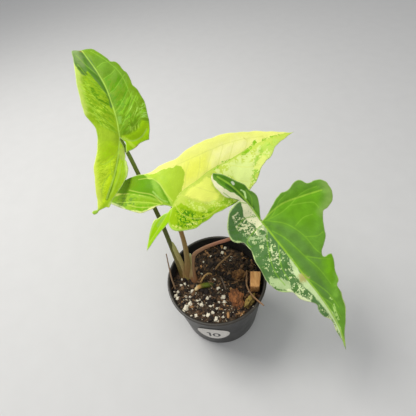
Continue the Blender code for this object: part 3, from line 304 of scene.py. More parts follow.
# Leaf paint, in the order it is laid on. Each patch has a name, a colour in screen values, how ragged
# its edge is and how soft, both in millimetres, and then its ring or line of points. With a cover, the
# patch is broken into flecks that cover that share of it, grain flecks to the centimetre.
PAINT = {
    "a": {
        "ground": (120, 161, 19), "midrib": (178, 216, 84), "side_veins": (156, 204, 62),
        "vein_strength": 0.42, "drawn_out": True, "cloud": 0.07, "rib": 0.95,
        "patches": [
            area("left_half", (150, 188, 27), 0.6, 1.0, [(0, 0), (18, -4), (36, -6), (53, -7), (68, -6),
                (82, -4), (104, 0), (125, 2), (125, 30), (-10, 40), (-70, 60), (-66, 28), (-48, 12),
                (-30, 2), (-12, 0)]),
            area("lobe", (207, 237, 53), 2.0, 6.0, [(-6, 10), (-4, 30), (-30, 44), (-70, 60), (-66, 28),
                (-48, 24), (-30, 13), (-14, 6)]),
            stripe("left_margin", (190, 214, 92), 2.5, 3.0, 4.0, [(84, 12), (74, 14), (58, 17), (44, 19),
                (30, 21)]),
            area("left_flecks", (128, 176, 18), 2.0, 2.0, [(74, -4), (52, -5), (24, -4), (2, 2), (12, 13),
                (30, 17), (48, 14), (66, 10)], cover=0.42, grain=4.0),
            area("left_light_flecks", (178, 216, 58), 2.0, 2.0, [(56, 2), (30, 0), (8, 6), (16, 14),
                (34, 17), (60, 14)], cover=0.2, grain=4.6),
            area("shoulder_shade", (174, 209, 46), 1.5, 5.0, [(16, 17), (11, 9), (3, 2), (-8, 7),
                (-17, 22), (-6, 22), (6, 18)]),
            area("lobe_green", (176, 221, 14), 1.5, 5.0, [(-8, 5), (-16, 10), (-19, 18), (-17, 22),
                (-7, 19), (-2, 10)]),
            area("lobe_speckle", (180, 215, 34), 1.5, 2.0, [(-2, 24), (-4, 6), (-20, 8), (-38, 16),
                (-54, 30), (-60, 44), (-46, 40), (-28, 32)], cover=0.42, grain=7.0),
            area("lobe_bright_band", (218, 252, 17), 1.0, 3.0, [(-22, 17), (-33, 20), (-48, 30),
                (-55, 37), (-48, 33), (-36, 25)]),
            stripe("lobe_left_edge", (226, 244, 88), 1.0, 2.5, 3.0, [(0, 22), (-18, 31), (-32, 35),
                (-46, 38), (-56, 43)]),
            area("lobe_right", (169, 208, 29), 0.8, 1.6, [(-3, 1), (-13, 2), (-25, 5), (-38, 10),
                (-47, 17), (-56, 30), (-58, 42), (-50, 31), (-36, 20), (-20, 9)]),
            stripe("lobe_right_edge", (216, 243, 121), 0.6, 1.2, 1.6, [(-18, 2), (-27, 4), (-38, 8),
                (-46, 15), (-52, 24), (-56, 31)]),
            stripe("lobe_right_pale_line", (179, 217, 62), 0.4, 0.6, 0.6, [(-24, 8), (-34, 14), (-42, 21),
                (-50, 30)]),
            # Painted shade: a dark line in the crease along the lobe's vein.
            stripe("lobe_crease_shade", (92, 132, 4), 0.5, 1.0, 0.8, [(-16, 7), (-25, 13), (-35, 19), (-44, 26),
                (-51, 32)]),
            area("whitish_fold", (171, 194, 76), 1.0, 1.5, [(-11, 5), (-9, 0), (-16, 1), (-22, 5),
                (-19, 8)]),
            area("right_upper_light", (113, 158, 34), 2.0, 4.0, [(96, -8), (82, -5), (64, -12), (46, -22),
                (62, -32), (90, -20)]),
            area("right_bright", (100, 160, 4), 2.0, 3.0, [(66, -9), (30, -7), (4, -4), (12, -24),
                (40, -26), (62, -26)], cover=0.4, grain=3.6),
            area("right_mint", (138, 192, 36), 2.0, 2.0, [(33, -9), (42, -30), (24, -36), (8, -33),
                (0, -24), (4, -8)], cover=0.36, grain=5.2),
            # Pale marbling with a painted sheen over it, in these pale patches.
            area("mint_and_sheen_1", (166, 210, 76), 1.6, 1.4, [(28, -20), (24, -28), (15, -25),
                (18, -18)], cover=0.4, grain=5.4),
            area("mint_and_sheen_2", (160, 208, 84), 1.6, 1.4, [(28, -28), (26, -36), (11, -33),
                (11, -27)], cover=0.45, grain=4.0),
            # Painted highlight beside the midrib.
            area("midrib_highlight", (136, 184, 62), 0.8, 0.8, [(20, -6), (19, -9), (12, -7), (13, -4)]),
            area("mint_and_sheen_4", (187, 224, 76), 1.5, 1.2, [(8, -12), (7, -21), (0, -22),
                (1, -12)], cover=0.4, grain=5.4),
            area("lower_right", (169, 217, 7), 1.0, 1.6, [(1, -2), (1, -10), (4, -20), (10, -26),
                (5, -34), (-4, -34), (-14, -12), (-16, 0)]),
            stripe("lower_right_light", (198, 231, 63), 0.8, 1.0, 1.2, [(0, -3), (-3, -6), (-8, -7),
                (-12, -10)]),
            area("grey_tip", (99, 137, 58), 0.5, 0.7, [(112, 12), (104, 2), (97, -2), (87, -5), (73, -6),
                (60, -7), (46, -7), (34, -6), (29, -4), (32, -3), (41, -5), (50, -4), (60, -1), (68, 1),
                (75, 3), (69, 6), (71, 9), (76, 10), (83, 11), (91, 12)]),
            stripe("grey_tip_sheen", (132, 160, 90), 1.5, 3.0, 3.5, [(106, 6), (96, 6), (84, 4)]),
            stripe("grey_tip_dark", (84, 132, 26), 0.8, 1.6, 1.4, [(90, 1), (76, 1), (66, -3), (52, -6),
                (38, -6)]),
            # Painted shade: dark where the blade dips into a small pit.
            stripe("pit_shade", (78, 116, 19), 0.8, 1.4, 1.2, [(79, 9), (73, 6), (71, 5)]),
            stripe("dark_flecks", (100, 152, 6), 0.8, 0.7, 2.0, [(55, 6), (48, 5), (40, 3), (36, -2),
                (30, 1)], cover=0.62, grain=4.0),
            stripe("dark_flecks_low", (124, 175, 6), 0.8, 0.8, 0.9, [(30, 3), (26, 3)]),
            stripe("red_nick", (146, 92, 56), 0.5, 0.6, 0.9, [(102, 1.5), (100, -1)]),
            stripe("white_tip", (159, 172, 130), 0.5, 1.2, 1.2, [(108, 9), (109, 5), (104, 3)]),
            stripe("brown_edge", (168, 116, 40), 0.3, 0.6, 0.6, [(-13, -9), (-9, -15)]),
            stripe("lobe_tip", (170, 214, 70), 0.5, 1.0, 2.2, [(-57, 44), (-60, 46)]),
        ],
    },
    "b": {
        "ground": (247, 250, 130), "midrib": (190, 222, 76), "side_veins": (222, 230, 108),
        "vein_strength": 0.4, "drawn_out": False, "cloud": 0.02, "rib": 0.7,
        "patches": [
            area("upper_lime", (247, 252, 100), 2.0, 7.0, [(16, 10), (22, 24), (36, 28), (52, 24),
                (46, 14), (30, 10)]),
            area("upper_pale", (252, 252, 163), 3.0, 6.0, [(50, 14), (58, 24), (84, 22), (96, 14),
                (80, 11), (60, 12)]),
            area("lower_half", (201, 221, 85), 0.6, 0.6, [(0, 0), (6, 3), (15, 7), (30, 9), (47, 11),
                (66, 10), (89, 10), (109, 7), (134, 1), (134, -30), (-20, -40), (-12, 0)]),
            area("outer_marbling", (228, 242, 142), 2.0, 2.0, [(48, 8), (55, 10), (73, 8), (91, 7),
                (104, 5), (104, -4), (95, -8), (85, -12), (74, -19), (65, -21),
                (58, -12)], cover=0.55, grain=2.6),
            area("outer_pale", (229, 245, 147), 2.5, 3.0, [(66, 6), (80, 0), (80, -9), (72, -16),
                (60, -14), (60, 2)]),
            area("outer_green_flecks", (168, 213, 70), 2.0, 2.0, [(82, -4), (96, 4), (112, 4), (110, -4),
                (98, -9), (86, -14), (74, -20), (66, -22), (72, -14)], cover=0.4, grain=3.0),
            area("cream_patch", (235, 247, 129), 1.6, 1.0, [(80, -8), (86, -4), (94, -3), (98, -6),
                (89, -10), (83, -12)]),
            area("tip_green", (196, 226, 92), 2.0, 2.0, [(98, 6), (112, 5), (118, 1), (111, -3),
                (103, -6), (96, -7), (94, -2)], cover=0.6, grain=2.4),
            area("wedge", (242, 249, 113), 1.6, 1.4, [(14, 3), (22, 6), (31, 6), (40, 8), (42, 4),
                (39, -4), (40, -10), (37, -14), (28, -12), (23, -8), (18, -2)]),
            area("grain_band", (196, 224, 70), 1.6, 1.2, [(12, 0), (20, -6), (26, -12), (38, -14),
                (46, -16), (56, -16), (62, -24), (50, -27), (28, -23), (20, -19), (13, -13), (9, -7)]),
            area("grain_band_flecks", (220, 242, 115), 1.0, 1.4, [(14, -2), (24, -10), (40, -14),
                (56, -17), (56, -24), (28, -23), (18, -18), (10, -7)], cover=0.4, grain=4.6),
            area("grain_band_dark", (160, 207, 40), 1.0, 1.4, [(24, -16), (40, -16), (54, -19), (50, -25),
                (28, -25), (20, -20)], cover=0.42, grain=3.4),
            area("bulge", (162, 203, 17), 1.2, 0.8, [(0, -1), (7, -2), (11, -7), (14, -13), (20, -18),
                (27, -18), (38, -20), (40, -24), (24, -29), (4, -30), (-12, -22), (-14, -9), (-4, -4)]),
            area("bulge_dark", (84, 150, 2), 2.0, 2.0, [(2, -4), (9, -8), (13, -15), (26, -20), (8, -24),
                (-6, -16)], cover=0.48, grain=3.4),
            area("bulge_flecks", (199, 230, 60), 1.0, 1.2, [(4, -4), (12, -14), (24, -20), (12, -22),
                (-2, -14), (-2, -6)], cover=0.16, grain=4.8),
            stripe("bulge_cream", (222, 236, 110), 1.4, 0.6, 2.2, [(-8, -14), (-3, -19), (4, -20),
                (8, -22)], cover=0.4, grain=4.4),
            stripe("bulge_margin", (185, 226, 76), 0.6, 0.8, 1.6, [(-3, -1), (-10, -7), (-9, -15),
                (-3, -21), (6, -25), (18, -25.5), (34, -24), (50, -25), (64, -23)]),
            stripe("right_margin", (206, 230, 112), 0.8, 0.8, 1.0, [(64, -23), (75, -19.5), (86, -13.5),
                (98, -8.5), (108, -3.5), (131, 0)]),
            area("lime_sector", (179, 212, 51), 0.9, 0.5, [(-3, 44), (0, 38), (5, 34), (9, 34), (12, 33),
                (14, 31), (17, 31), (19, 28), (23, 29), (26, 26), (26, 20), (21, 14), (16, 9), (9, 5),
                (0, 0), (0, 5), (1, 14), (2, 21), (1, 29), (-2, 36)]),
            stripe("lime_sector_light", (171, 207, 45), 1.5, 3.0, 1.8, [(3, 3), (6, 14), (8, 26)]),
            stripe("lime_edge", (176, 214, 69), 0.6, 0.8, 1.2, [(1, 1), (1, 12), (2, 23), (0, 31),
                (-3, 40)]),
            area("lobe", (103, 157, 1), 0.4, 0.6, [(-22, 62), (-4, 44), (-3, 36), (1, 30), (2, 22),
                (1, 10), (0, 0), (-4, 8), (-8, 15), (-12, 22), (-18, 31), (-24, 41), (-33, 52), (-48, 56),
                (-46, 62)]),
            # Painted shadow: leaf A's soft shadow darkens the lobe's outer part.
            area("lobe_shadow_from_leaf_a", (114, 156, 2), 1.5, 6.0, [(-20, 62), (-9, 48), (-14, 40), (-24, 42),
                (-36, 56)]),
            stripe("lobe_shade", (120, 176, 10), 0.6, 2.0, 1.2, [(-2, 6), (-3, 18), (-1, 30)]),
            # Painted highlights: a greyish reflection on the lobe and a bright streak on it.
            area("painted_highlight_grey", (145, 192, 52), 0.8, 2.0, [(2, 31), (0, 18), (-2, 8), (-5, 14), (-4, 24),
                (-2, 32)]),
            stripe("painted_highlight_streak", (168, 208, 92), 0.4, 0.6, 0.6, [(-6, 22), (-5, 15), (-3, 9), (-1, 6)]),
            area("lobe_lower", (142, 187, 29), 0.8, 0.8, [(0, 1), (-4, 8), (-8, 15), (-12, 22), (-18, 31),
                (-24, 41), (-31, 48), (-46, 56), (-40, 34), (-30, 18), (-10, 4)]),
            area("lobe_lower_dark", (116, 158, 50), 1.5, 1.2, [(-24, 38), (-20, 30), (-26, 24), (-34, 32),
                (-40, 46), (-30, 46)], cover=0.45, grain=3.0),
            area("lobe_lower_mint", (154, 192, 48), 1.0, 1.0, [(-8, 10), (-18, 28), (-30, 46), (-40, 46),
                (-34, 28), (-22, 18)], cover=0.35, grain=4.6),
            area("lobe_lower_green", (121, 178, 4), 1.2, 1.0, [(-27, 21), (-22, 24), (-16, 17), (-8, 10),
                (-12, 8), (-22, 14)], cover=0.75, grain=2.2),
            stripe("lobe_vein_pale", (152, 194, 52), 0.6, 0.8, 0.8, [(0, 1), (-4, 8), (-8, 14), (-12, 21),
                (-18, 29), (-23, 37)]),
            stripe("lobe_margin", (234, 242, 150), 0.7, 0.7, 1.3, [(-8, 8), (-15, 11), (-24, 15),
                (-30, 23)]),
            stripe("lobe_tip_edge", (222, 234, 160), 0.5, 0.7, 0.9, [(-34, 31), (-39, 42), (-45, 53)]),
            area("small_lobe", (163, 216, 10), 0.3, 0.5, [(-2, 0), (-9, 3), (-22, 1), (-32, -4),
                (-42, -14), (-28, -13), (-14, -11), (-8, -7), (-4, -3)]),
            stripe("small_lobe_streak", (164, 214, 78), 0.5, 0.7, 1.1, [(-18, -3), (-12, -2),
                (-8, -1.5)]),
            stripe("small_lobe_margin", (185, 222, 83), 0.3, 0.6, 0.8, [(0, 0.5), (-10, 1), (-20, 0),
                (-30, -5), (-37, -12)]),
            stripe("rib_greens_low", (158, 208, 50), 1.0, 0.4, 0.8, [(46, 8.6), (53, 10.6), (60, 11.2),
                (67, 9.6)], cover=0.36, grain=5.4),
            stripe("rib_greens", (146, 202, 30), 1.0, 0.4, 1.4, [(80, 8.4), (86, 9.0), (91, 10.2),
                (96, 12.0)], cover=0.62, grain=5.0),
            stripe("tip_flecks", (150, 204, 38), 1.0, 0.4, 1.2, [(103, 9), (108, 8.2), (114, 6),
                (120, 3.4)], cover=0.6, grain=5.0),
            stripe("brown_fleck", (170, 140, 60), 0.2, 0.3, 0.3, [(90, 17), (89, 20)]),
        ],
    },
    "c": {
        "ground": (110, 163, 48), "midrib": (158, 204, 60), "side_veins": (136, 190, 50),
        "vein_strength": 0.62, "drawn_out": False, "cloud": 0.1, "rib": 1.1,
        "patches": [
            area("bright_lobe", (106, 165, 26), 2.0, 8.0, [(0, 12), (12, 20), (30, 30), (24, 48), (6, 62),
                (-6, 48), (-8, 24)]),
            stripe("grey_rim", (138, 176, 81), 2.0, 5.0, 4.5, [(4, 66), (13, 64), (19, 58), (22, 50)]),
            # Painted highlight along the lobe's edge.
            stripe("rim_highlight", (112, 159, 54), 1.0, 2.0, 1.6, [(-9, 34), (-11, 44), (-5, 52)]),
            area("between_veins", (102, 147, 58), 1.5, 3.0, [(3, 4), (12, 12), (24, 19), (43, 22),
                (52, 24), (56, 20), (48, 16), (34, 12), (20, 8)]),
            area("along_midrib", (100, 145, 60), 1.0, 2.5, [(6, 2), (30, 4), (62, 7), (90, 9), (80, 14),
                (58, 14), (40, 11), (22, 7)]),
            area("right_spur", (117, 178, 22), 1.5, 4.0, [(54, 36), (74, 29), (86, 24), (80, 19),
                (64, 20), (54, 26)]),
            stripe("spur_sheen", (136, 194, 63), 1.5, 2.5, 2.0, [(72, 27), (80, 22), (86, 18)]),
            area("marbled_half", (94, 134, 73), 0.8, 0.6, [(0, 0), (12, 0.5), (29, 1.5), (60, 3), (85, 5),
                (110, 4.5), (134, 0), (120, -12), (70, -30), (-10, -40), (-34, -24), (-26, -6),
                (-14, -1)]),
            area("marbled_dark", (88, 134, 60), 1.5, 1.0, [(-26, -10), (-6, -8), (12, -2), (60, -2),
                (80, 2), (64, -14), (56, -24), (0, -30), (-22, -24)], cover=0.3, grain=2.6),
            area("back_lobe", (87, 141, 26), 0.5, 0.6, [(0, 0), (-12, -1), (-22, -4), (-32, -7),
                (-44, -13), (-62, -16), (-50, 0), (-26, 12), (-8, 8)]),
            area("back_lobe_rear", (112, 160, 58), 1.5, 3.0, [(-28, 2), (-22, 9), (-13, 9), (-5, 3),
                (-10, 1), (-20, 0)]),
            stripe("back_lobe_dark", (57, 106, 28), 0.6, 1.6, 1.0, [(-42, -10), (-32, -5), (-24, -2.5),
                (-14, -0.5)]),
            stripe("back_flecks", (214, 228, 190), 0.5, 0.4, 0.9, [(-41.5, -5), (-39.5, -4.5)]),
            stripe("back_flecks_long", (216, 252, 159), 0.5, 0.4, 0.8, [(-32, -1.5), (-29, 0),
                (-24, -1.5)]),
            area("cream_lobe", (252, 252, 200), 0.5, 0.4, [(-58, -15), (-52, -17), (-44, -15), (-36, -11),
                (-33, -8), (-27, -5.5), (-22, -3.5), (-14, -0.5), (-7, -0.5), (-1, -0.5), (6, 0), (8, -2),
                (6, -4), (4, -7), (0, -7), (-6, -10), (-12, -11), (-17, -9), (-23, -7), (-27, -8),
                (-32, -14), (-38, -22), (-56, -24)]),
            area("cream_lobe_specks", (167, 200, 133), 0.5, 0.5, [(-14, -2), (-2, -1), (6, 0), (5, -6),
                (-4, -9), (-14, -8)], cover=0.12, grain=5.5),
            area("dense_flecks", (240, 246, 187), 1.6, 1.0, [(-17, -20), (-17, -14), (-10, -11), (0, -8),
                (6, -6), (10, -8), (3, -19), (-6, -22)], cover=0.4, grain=4.2),
            stripe("blob_ring", (179, 198, 143), 1.2, 0.6, 0.7, [(6, -8), (4, -4), (6, -1), (10, -1),
                (12, -4), (10, -8), (6, -8)]),
            stripe("cream_arc", (177, 205, 142), 1.6, 0.5, 0.9, [(2, -19), (6, -18), (9, -14), (11, -10),
                (13, -6)]),
            area("middle_flecks", (200, 219, 155), 1.6, 1.0, [(8, -19), (18, -14), (22, -8), (17, -3),
                (13, -6), (8, -12)], cover=0.36, grain=4.8),
            area("scattered_flecks", (216, 234, 163), 1.5, 1.5, [(18, -3), (36, 1), (56, 1), (58, -10),
                (48, -20), (24, -20), (14, -14)], cover=0.12, grain=4.6),
            area("light_patch", (234, 244, 185), 1.2, 0.8, [(24, -7), (28, -2), (35, -5),
                (33, -10)], cover=0.5, grain=4.4),
            area("midrib_flecks", (215, 231, 176), 1.2, 0.8, [(37, 3), (55, 2), (58, -2), (50, -4),
                (42, -1)], cover=0.45, grain=5.0),
            area("mint_patch", (189, 213, 149), 1.6, 0.6, [(43, -22), (47, -18), (50, -12), (56, -10),
                (61, -11), (62, -14), (57, -19), (51, -24)], cover=0.88, grain=3.0),
            area("lower_flecks", (220, 238, 172), 1.2, 0.8, [(58, -5), (74, 1), (78, -3), (66, -11),
                (60, -10)], cover=0.42, grain=4.2),
            stripe("cream_foot", (240, 252, 193), 1.0, 0.6, 1.4, [(61, -14), (67, -11.5), (73, -8),
                (78, -5)]),
            stripe("marble_margin", (199, 226, 146), 0.6, 0.5, 0.9, [(-25, -8), (-24, -15), (-19, -23),
                (-9, -29.4), (0, -30.4), (7, -24.4), (16, -22.4), (29, -24.4), (44, -25.4), (56, -23.4),
                (62, -15.4), (72, -10.4)]),
            area("pale_band", (216, 238, 171), 0.8, 0.8, [(34, 2.6), (44, 2.4), (54, 2), (62, 4), (71, 5),
                (83, 6), (96, 7), (112, 5.5), (124, 1.5), (118, 1.5), (104, 3.8), (88, 2.5), (75, 1),
                (65, -1.5), (54, -2.5), (42, 0.5)]),
            area("tan_spot", (200, 196, 120), 2.2, 1.6, [(55, -1), (54, 4), (61, 5), (64, 1), (60, -2)]),
            stripe("tan_core", (204, 170, 92), 0.6, 0.6, 0.8, [(56, 3.5), (60, 4)]),
            area("tip_marbling", (222, 234, 166), 0.8, 0.6, [(84, 1), (100, 3), (120, 2), (112, 0),
                (92, -3)], cover=0.35, grain=4.4),
            stripe("tip_flecks", (187, 225, 122), 0.6, 0.5, 1.2, [(86, 12), (92, 11), (98, 9),
                (104, 8)], cover=0.55, grain=3.6),
            stripe("right_edge", (196, 222, 120), 0.4, 0.5, 0.7, [(74, 28), (87, 23), (100, 19),
                (114, 10), (124, 3)]),
        ],
    },
}

STEM_PATH = [(-27, 5, 42, 5.0), (-28, 7, 56, 4.8), (-29.5, 10, 67, 4.2)]
STALK_PATHS = {
    "a": [(-31, 8, 56, 3.4), (-34, 11, 64, 3.6), (-36, 16, 76, 3.0), (-40, 26, 93, 2.4),
          (-46, 42, 120, 2.2), (-57, 67, 152, 2.1), (-65, 85, 172, 2.0)],
    "b": [(-29, 9, 66, 3.6), (-28, 12, 77, 3.3), (-26.5, 15, 92, 2.7), (-25.5, 17, 112, 2.3),
          (-26, 18, 135, 2.1), (-28, 19.5, 152, 2.0)],
    "c": [(-22.5, 1, 57, 4.2), (-23, 3, 63, 4.2), (-23.4, 8, 71, 3.0), (-22.8, 15, 80, 2.5),
          (-19, 21.5, 87.5, 2.1), (-8, 24, 93, 1.8), (5, 23, 99.5, 1.7), (19, 20, 108, 1.7),
          (34, 15, 125, 1.7)],
}
STALK_TOP_RADIUS = 1.9
STALK_UNDER_BLADE = 1.2
STALK_SIDES = 24
ROOT_SIDES = 12
SHEATH_PATHS = {
    "a": [(-31.5, 9, 66, 3.0), (-32.5, 14, 76, 2.8), (-35, 20, 86, 2.5), (-37.8, 26, 96, 2.2),
          (-39.5, 29.5, 101, 1.6)],
    "b": [(-28.5, 8, 70, 2.4), (-28.5, 11, 78, 2.0), (-28, 13, 84, 0.9)],
    "c": [(-25, 1.5, 64, 3.2), (-26, 6, 71, 3.0), (-25.6, 11.5, 79, 2.7), (-24.2, 16.5, 87, 2.2),
          (-23.0, 19, 92, 1.4)],
}
SHEATH_SIDES = {"a": (0.25, -0.9, 0.35), "b": (0.1, -1.0, 0.2), "c": (-0.5, -0.8, 0.3)}
SHEATH_THICKNESS = 0.7

# Colours up a stalk, from its foot to its leaf: share of the way, then screen values.
STALK_COLOURS = {
    "stem": [(0.0, (112, 88, 48)), (1.0, (150, 128, 72))],
    "a": [(0.0, (138, 104, 62)), (0.15, (112, 98, 48)), (0.35, (92, 98, 34)), (0.7, (96, 108, 32)),
          (1.0, (128, 152, 44))],
    "b": [(0.0, (154, 118, 74)), (0.35, (152, 128, 76)), (0.7, (150, 118, 64)), (1.0, (158, 158, 68))],
    "c": [(0.0, (112, 74, 48)), (0.10, (138, 94, 60)), (0.22, (154, 116, 80)), (0.36, (172, 128, 96)),
          (0.6, (184, 124, 98)), (0.85, (184, 116, 96)), (1.0, (150, 152, 76))],
}
SHEATH_COLOURS = {
    "a": [(0.0, (174, 138, 92)), (0.5, (176, 160, 100)), (1.0, (186, 184, 112))],
    "b": [(0.0, (160, 124, 80)), (1.0, (168, 146, 84))],
    "c": [(0.0, (146, 108, 72)), (0.5, (170, 148, 98)), (0.85, (186, 178, 116)), (1.0, (206, 206, 146))],
}

ROOT_PATHS = {
    "dry_straw_left": [(-42, -6, -4, 0.9), (-43.5, -2, 3, 0.9), (-45, 3, 9, 0.8), (-46, 12, 18, 0.7),
                       (-47, 23, 29, 0.5)],
    "dry_root_right": [(32, 15, -4, 0.9), (32, 6, 3, 0.9), (30, -4, 8, 0.9), (28.5, -13, 8, 0.9),
                       (31, -23, 8, 0.8), (35, -32, 12, 0.8), (39, -39, 15, 0.6)],
    "dry_root_middle": [(-4, 11, -4, 0.9), (1, 15, 2, 0.9), (8, 19, 7, 0.9), (17, 23, 12, 0.5)],
    "dry_root_arc": [(-18, -2, -4, 0.9), (-16, 1, 2, 0.9), (-12, 5, 5, 0.9), (-7, 8, 4, 0.9),
                     (-1, 8, -4, 0.7)],
    "twig": [(2, 10, -3, 0.8), (5, 1, 1, 0.9), (7, -8, 1, 0.9), (8, -15, -3, 0.7)],
}
ROOT_COLOURS = {
    "dry_straw_left": ((158, 128, 96), (108, 84, 62)), "dry_root_right": ((176, 134, 94), (108, 78, 52)),
    "dry_root_middle": ((170, 134, 88), (112, 82, 50)), "dry_root_arc": ((214, 174, 112), (150, 108, 60)),
    "twig": ((120, 104, 88), (78, 62, 50)),
}
STUB_PATH = [(-22, -8, 2.5, 1.7), (-19, -6, 2.8, 2.1), (-15.5, -4.5, 1.6, 2.5), (-10, -4, 1.0, 2.7),
             (-5.5, -3.5, -0.6, 2.3)]
STUB_COLOURS = [(0.0, (232, 206, 150)), (0.16, (206, 160, 96)), (0.34, (116, 110, 34)),
                (0.6, (98, 112, 22)), (1.0, (66, 72, 24))]

LUMPS = {
    "bark_chip_red": ((15.5, -24, 0.6), (7.0, 9.6, 4.2), 8, (6, -8), 0.4),
    "bark_chip_brown": ((22, 5, 0.8), (6.4, 5.0, 3.2), 25, (-6, 4), 0.48),
    "fibre_lump": ((28, -27.5, 0.8), (3.4, 9.0, 3.6), -44, (0, 6), 0.4),
}
LUMP_COLOURS = {
    "bark_chip_red": ((178, 112, 62), (72, 46, 30)), "bark_chip_brown": ((166, 116, 66), (60, 40, 26)),
    "fibre_lump": ((186, 158, 84), (92, 70, 34)),
}
TAN_CHIP_CENTRE = (37.5, -8.0, 6.5)
TAN_CHIP_SIZE = (10.5, 17.0, 13.0)
TAN_CHIP_TURN = math.radians(-11.0)
TAN_CHIP_BEVEL = 1.2

# Perlite placed where the photograph shows a large grain: x, y and radius.
LARGE_GRAINS = [
    (-33, -26.5, 3.0), (-29, -23, 2.4), (-40, -8, 2.6), (-41, -15, 2.1), (-18, -25, 2.0), (-12, -19, 1.7),
    (-8, -35, 2.0), (-13, -37, 2.1), (4, -20, 2.5), (-6, -42, 2.3), (1, -41, 1.7), (-26, -9, 1.8),
    (-33, 1, 1.7), (14, 41, 2.1), (10, 35, 1.9), (-3, 2, 1.8), (0, -9, 2.2), (-24, -36, 2.0),
    (-36, 7, 1.3), (-37, 0, 1.5), (-43, -12, 2.1), (-33, -14, 1.5), (-29, -15, 1.4), (-9, -17, 1.1),
    (-22, -20, 1.3), (4, -25, 1.9), (-36, -30, 1.8), (-10, -28, 1.5), (-4, -31, 1.4), (-21, -4, 1.9),
    (-15, 11, 1.2), (-3, 32, 1.3), (-12, 26, 1.1), (-17, -37, 1.4), (-7, -27, 1.0), (-1, -25, 1.3),
    (7, 46, 1.2),
]

# Loose pieces strewn over the mix. Each kind has its slot, its finish, and how lumpy, wide and thick its
# pieces are for a length of one millimetre. "lie" says how many lie on a square metre, how large they
# are, how far they tumble, and which share of the surface they keep to.
STREWN = {
    "perlite_small": {
        "slot": "potting_mix", "finish": "perlite", "light": (238, 228, 204), "dark": (142, 124, 96),
        "grit": {"scale": 1.6, "balance": 0.56, "bump": 0.5},
        "lumpy": 1.0, "wide": (0.65, 0.95), "thick": (0.55, 0.85),
        "lie": {"Crowding": 110000.0, "Smallest": 0.25, "Largest": 1.25, "Tumble": math.pi, "Seed": 3,
                "Share": "grain_share"}},
    "bark_crumbs_strewn": {
        "slot": "potting_mix", "finish": "bark_crumbs", "light": (128, 96, 66), "dark": (34, 25, 19),
        "grit": {"scale": 1.3, "balance": 0.34, "bump": 0.6},
        "lumpy": 0.7, "wide": (0.5, 0.8), "thick": (0.35, 0.6),
        "lie": {"Crowding": 90000.0, "Smallest": 0.7, "Largest": 3.6, "Tumble": 0.7, "Seed": 5,
                "Share": "litter_share"}},
    "bark_flakes_strewn": {
        "slot": "bark_brown", "finish": "bark_flakes", "light": (186, 138, 88), "dark": (70, 46, 30),
        "grit": {"scale": 1.3, "balance": 0.42, "bump": 0.6},
        "lumpy": 0.8, "wide": (0.3, 0.5), "thick": (0.2, 0.3),
        "lie": {"Crowding": 52000.0, "Smallest": 1.0, "Largest": 5.0, "Tumble": 0.6, "Seed": 12,
                "Share": "flake_share"}},
    "fibres_strewn": {
        "slot": "straw", "finish": "fibre_bits", "light": (156, 116, 78), "dark": (70, 46, 30),
        "grit": {"scale": 2.0, "balance": 0.5, "bump": 0.2},
        "lie": {"Crowding": 24000.0, "Smallest": 0.4, "Largest": 1.5, "Tumble": 0.5, "Seed": 8,
                "Share": "litter_share"}},
}
PIECES_PER_KIND = 6
SCATTER_INPUTS = {
    "Surface": "Geometry", "Pieces": "Collection", "Crowding": "Float", "Smallest": "Float",
    "Largest": "Float", "Tumble": "Float", "Seed": "Int", "Finish": "Material", "Share": "String",
}


def screen(red, green, blue):
    """A colour given in screen values from 0 to 255, as the linear colour that shaders use."""
    linear = [((value / 255 + 0.055) / 1.055) ** 2.4 if value > 10 else value / 255 / 12.92
              for value in (red, green, blue)]
    return (*linear, 1.0)


class Bench:
    """A node tree with short ways to add nodes and join them."""

    def __init__(self, tree):
        self.tree = tree

    def feed(self, socket, value):
        if isinstance(value, bpy.types.NodeSocket):
            self.tree.links.new(value, socket)
        else:
            socket.default_value = value

    def node(self, kind, feeds=None, **settings):
        made = self.tree.nodes.new(kind)
        for name, value in settings.items():
            setattr(made, name, value)
        for name, value in (feeds or {}).items():
            self.feed(made.inputs[name], value)
        return made

    def math(self, operation, *values):
        made = self.tree.nodes.new("ShaderNodeMath")
        made.operation = operation
        for socket, value in zip(made.inputs, values):
            self.feed(socket, value)
        return made.outputs[0]

    def vector(self, operation, *values):
        made = self.tree.nodes.new("ShaderNodeVectorMath")
        made.operation = operation
        for socket, value in zip(made.inputs, values):
            self.feed(socket, value)
        return made.outputs[0]

    def mix(self, share, under, over, blend="MIX"):
        made = self.node("ShaderNodeMix", data_type="RGBA", blend_type=blend)
        for index, value in ((0, share), (6, under), (7, over)):
            self.feed(made.inputs[index], value)
        return made.outputs[2]

    def ramp(self, value, low, high, bottom=0.0, top=1.0):
        """Goes smoothly from bottom to top while value goes from low to high."""
        made = self.node("ShaderNodeMapRange", {
            "Value": value, "From Min": low, "From Max": high, "To Min": bottom, "To Max": top})
        made.interpolation_type = "SMOOTHSTEP"
        return made.outputs["Result"]

    def shade(self, colour, tone):
        """The colour, made darker or lighter by the tone."""
        grey = self.node("ShaderNodeCombineColor", {"Red": tone, "Green": tone, "Blue": tone})
        return self.mix(1.0, colour, grey.outputs["Color"], "MULTIPLY")

    def blend(self, first, first_share, second, second_share):
        """The sum of two values, each times its share."""
        rest = self.math("MULTIPLY", second, second_share)
        return self.math("MULTIPLY_ADD", first, first_share, rest)

    def noise(self, place, scale, detail=2.0, roughness=0.5, output="Fac"):
        """Soft noise between 0 and 1, most of it near the middle."""
        made = self.node("ShaderNodeTexNoise", {
            "Vector": place, "Scale": scale, "Detail": detail, "Roughness": roughness})
        return made.outputs[output]

    def group(self, tree, feeds):
        made = self.tree.nodes.new("ShaderNodeGroup")
        made.node_tree = tree
        for name, value in feeds.items():
            self.feed(made.inputs[name], value)
        return made.outputs

    def attribute(self, name):
        return self.node("ShaderNodeAttribute", attribute_name=name).outputs

    def object_place(self):
        return self.node("ShaderNodeTexCoord").outputs["Object"]


SOCKET_KINDS = {float: "NodeSocketFloat", tuple: "NodeSocketVector"}


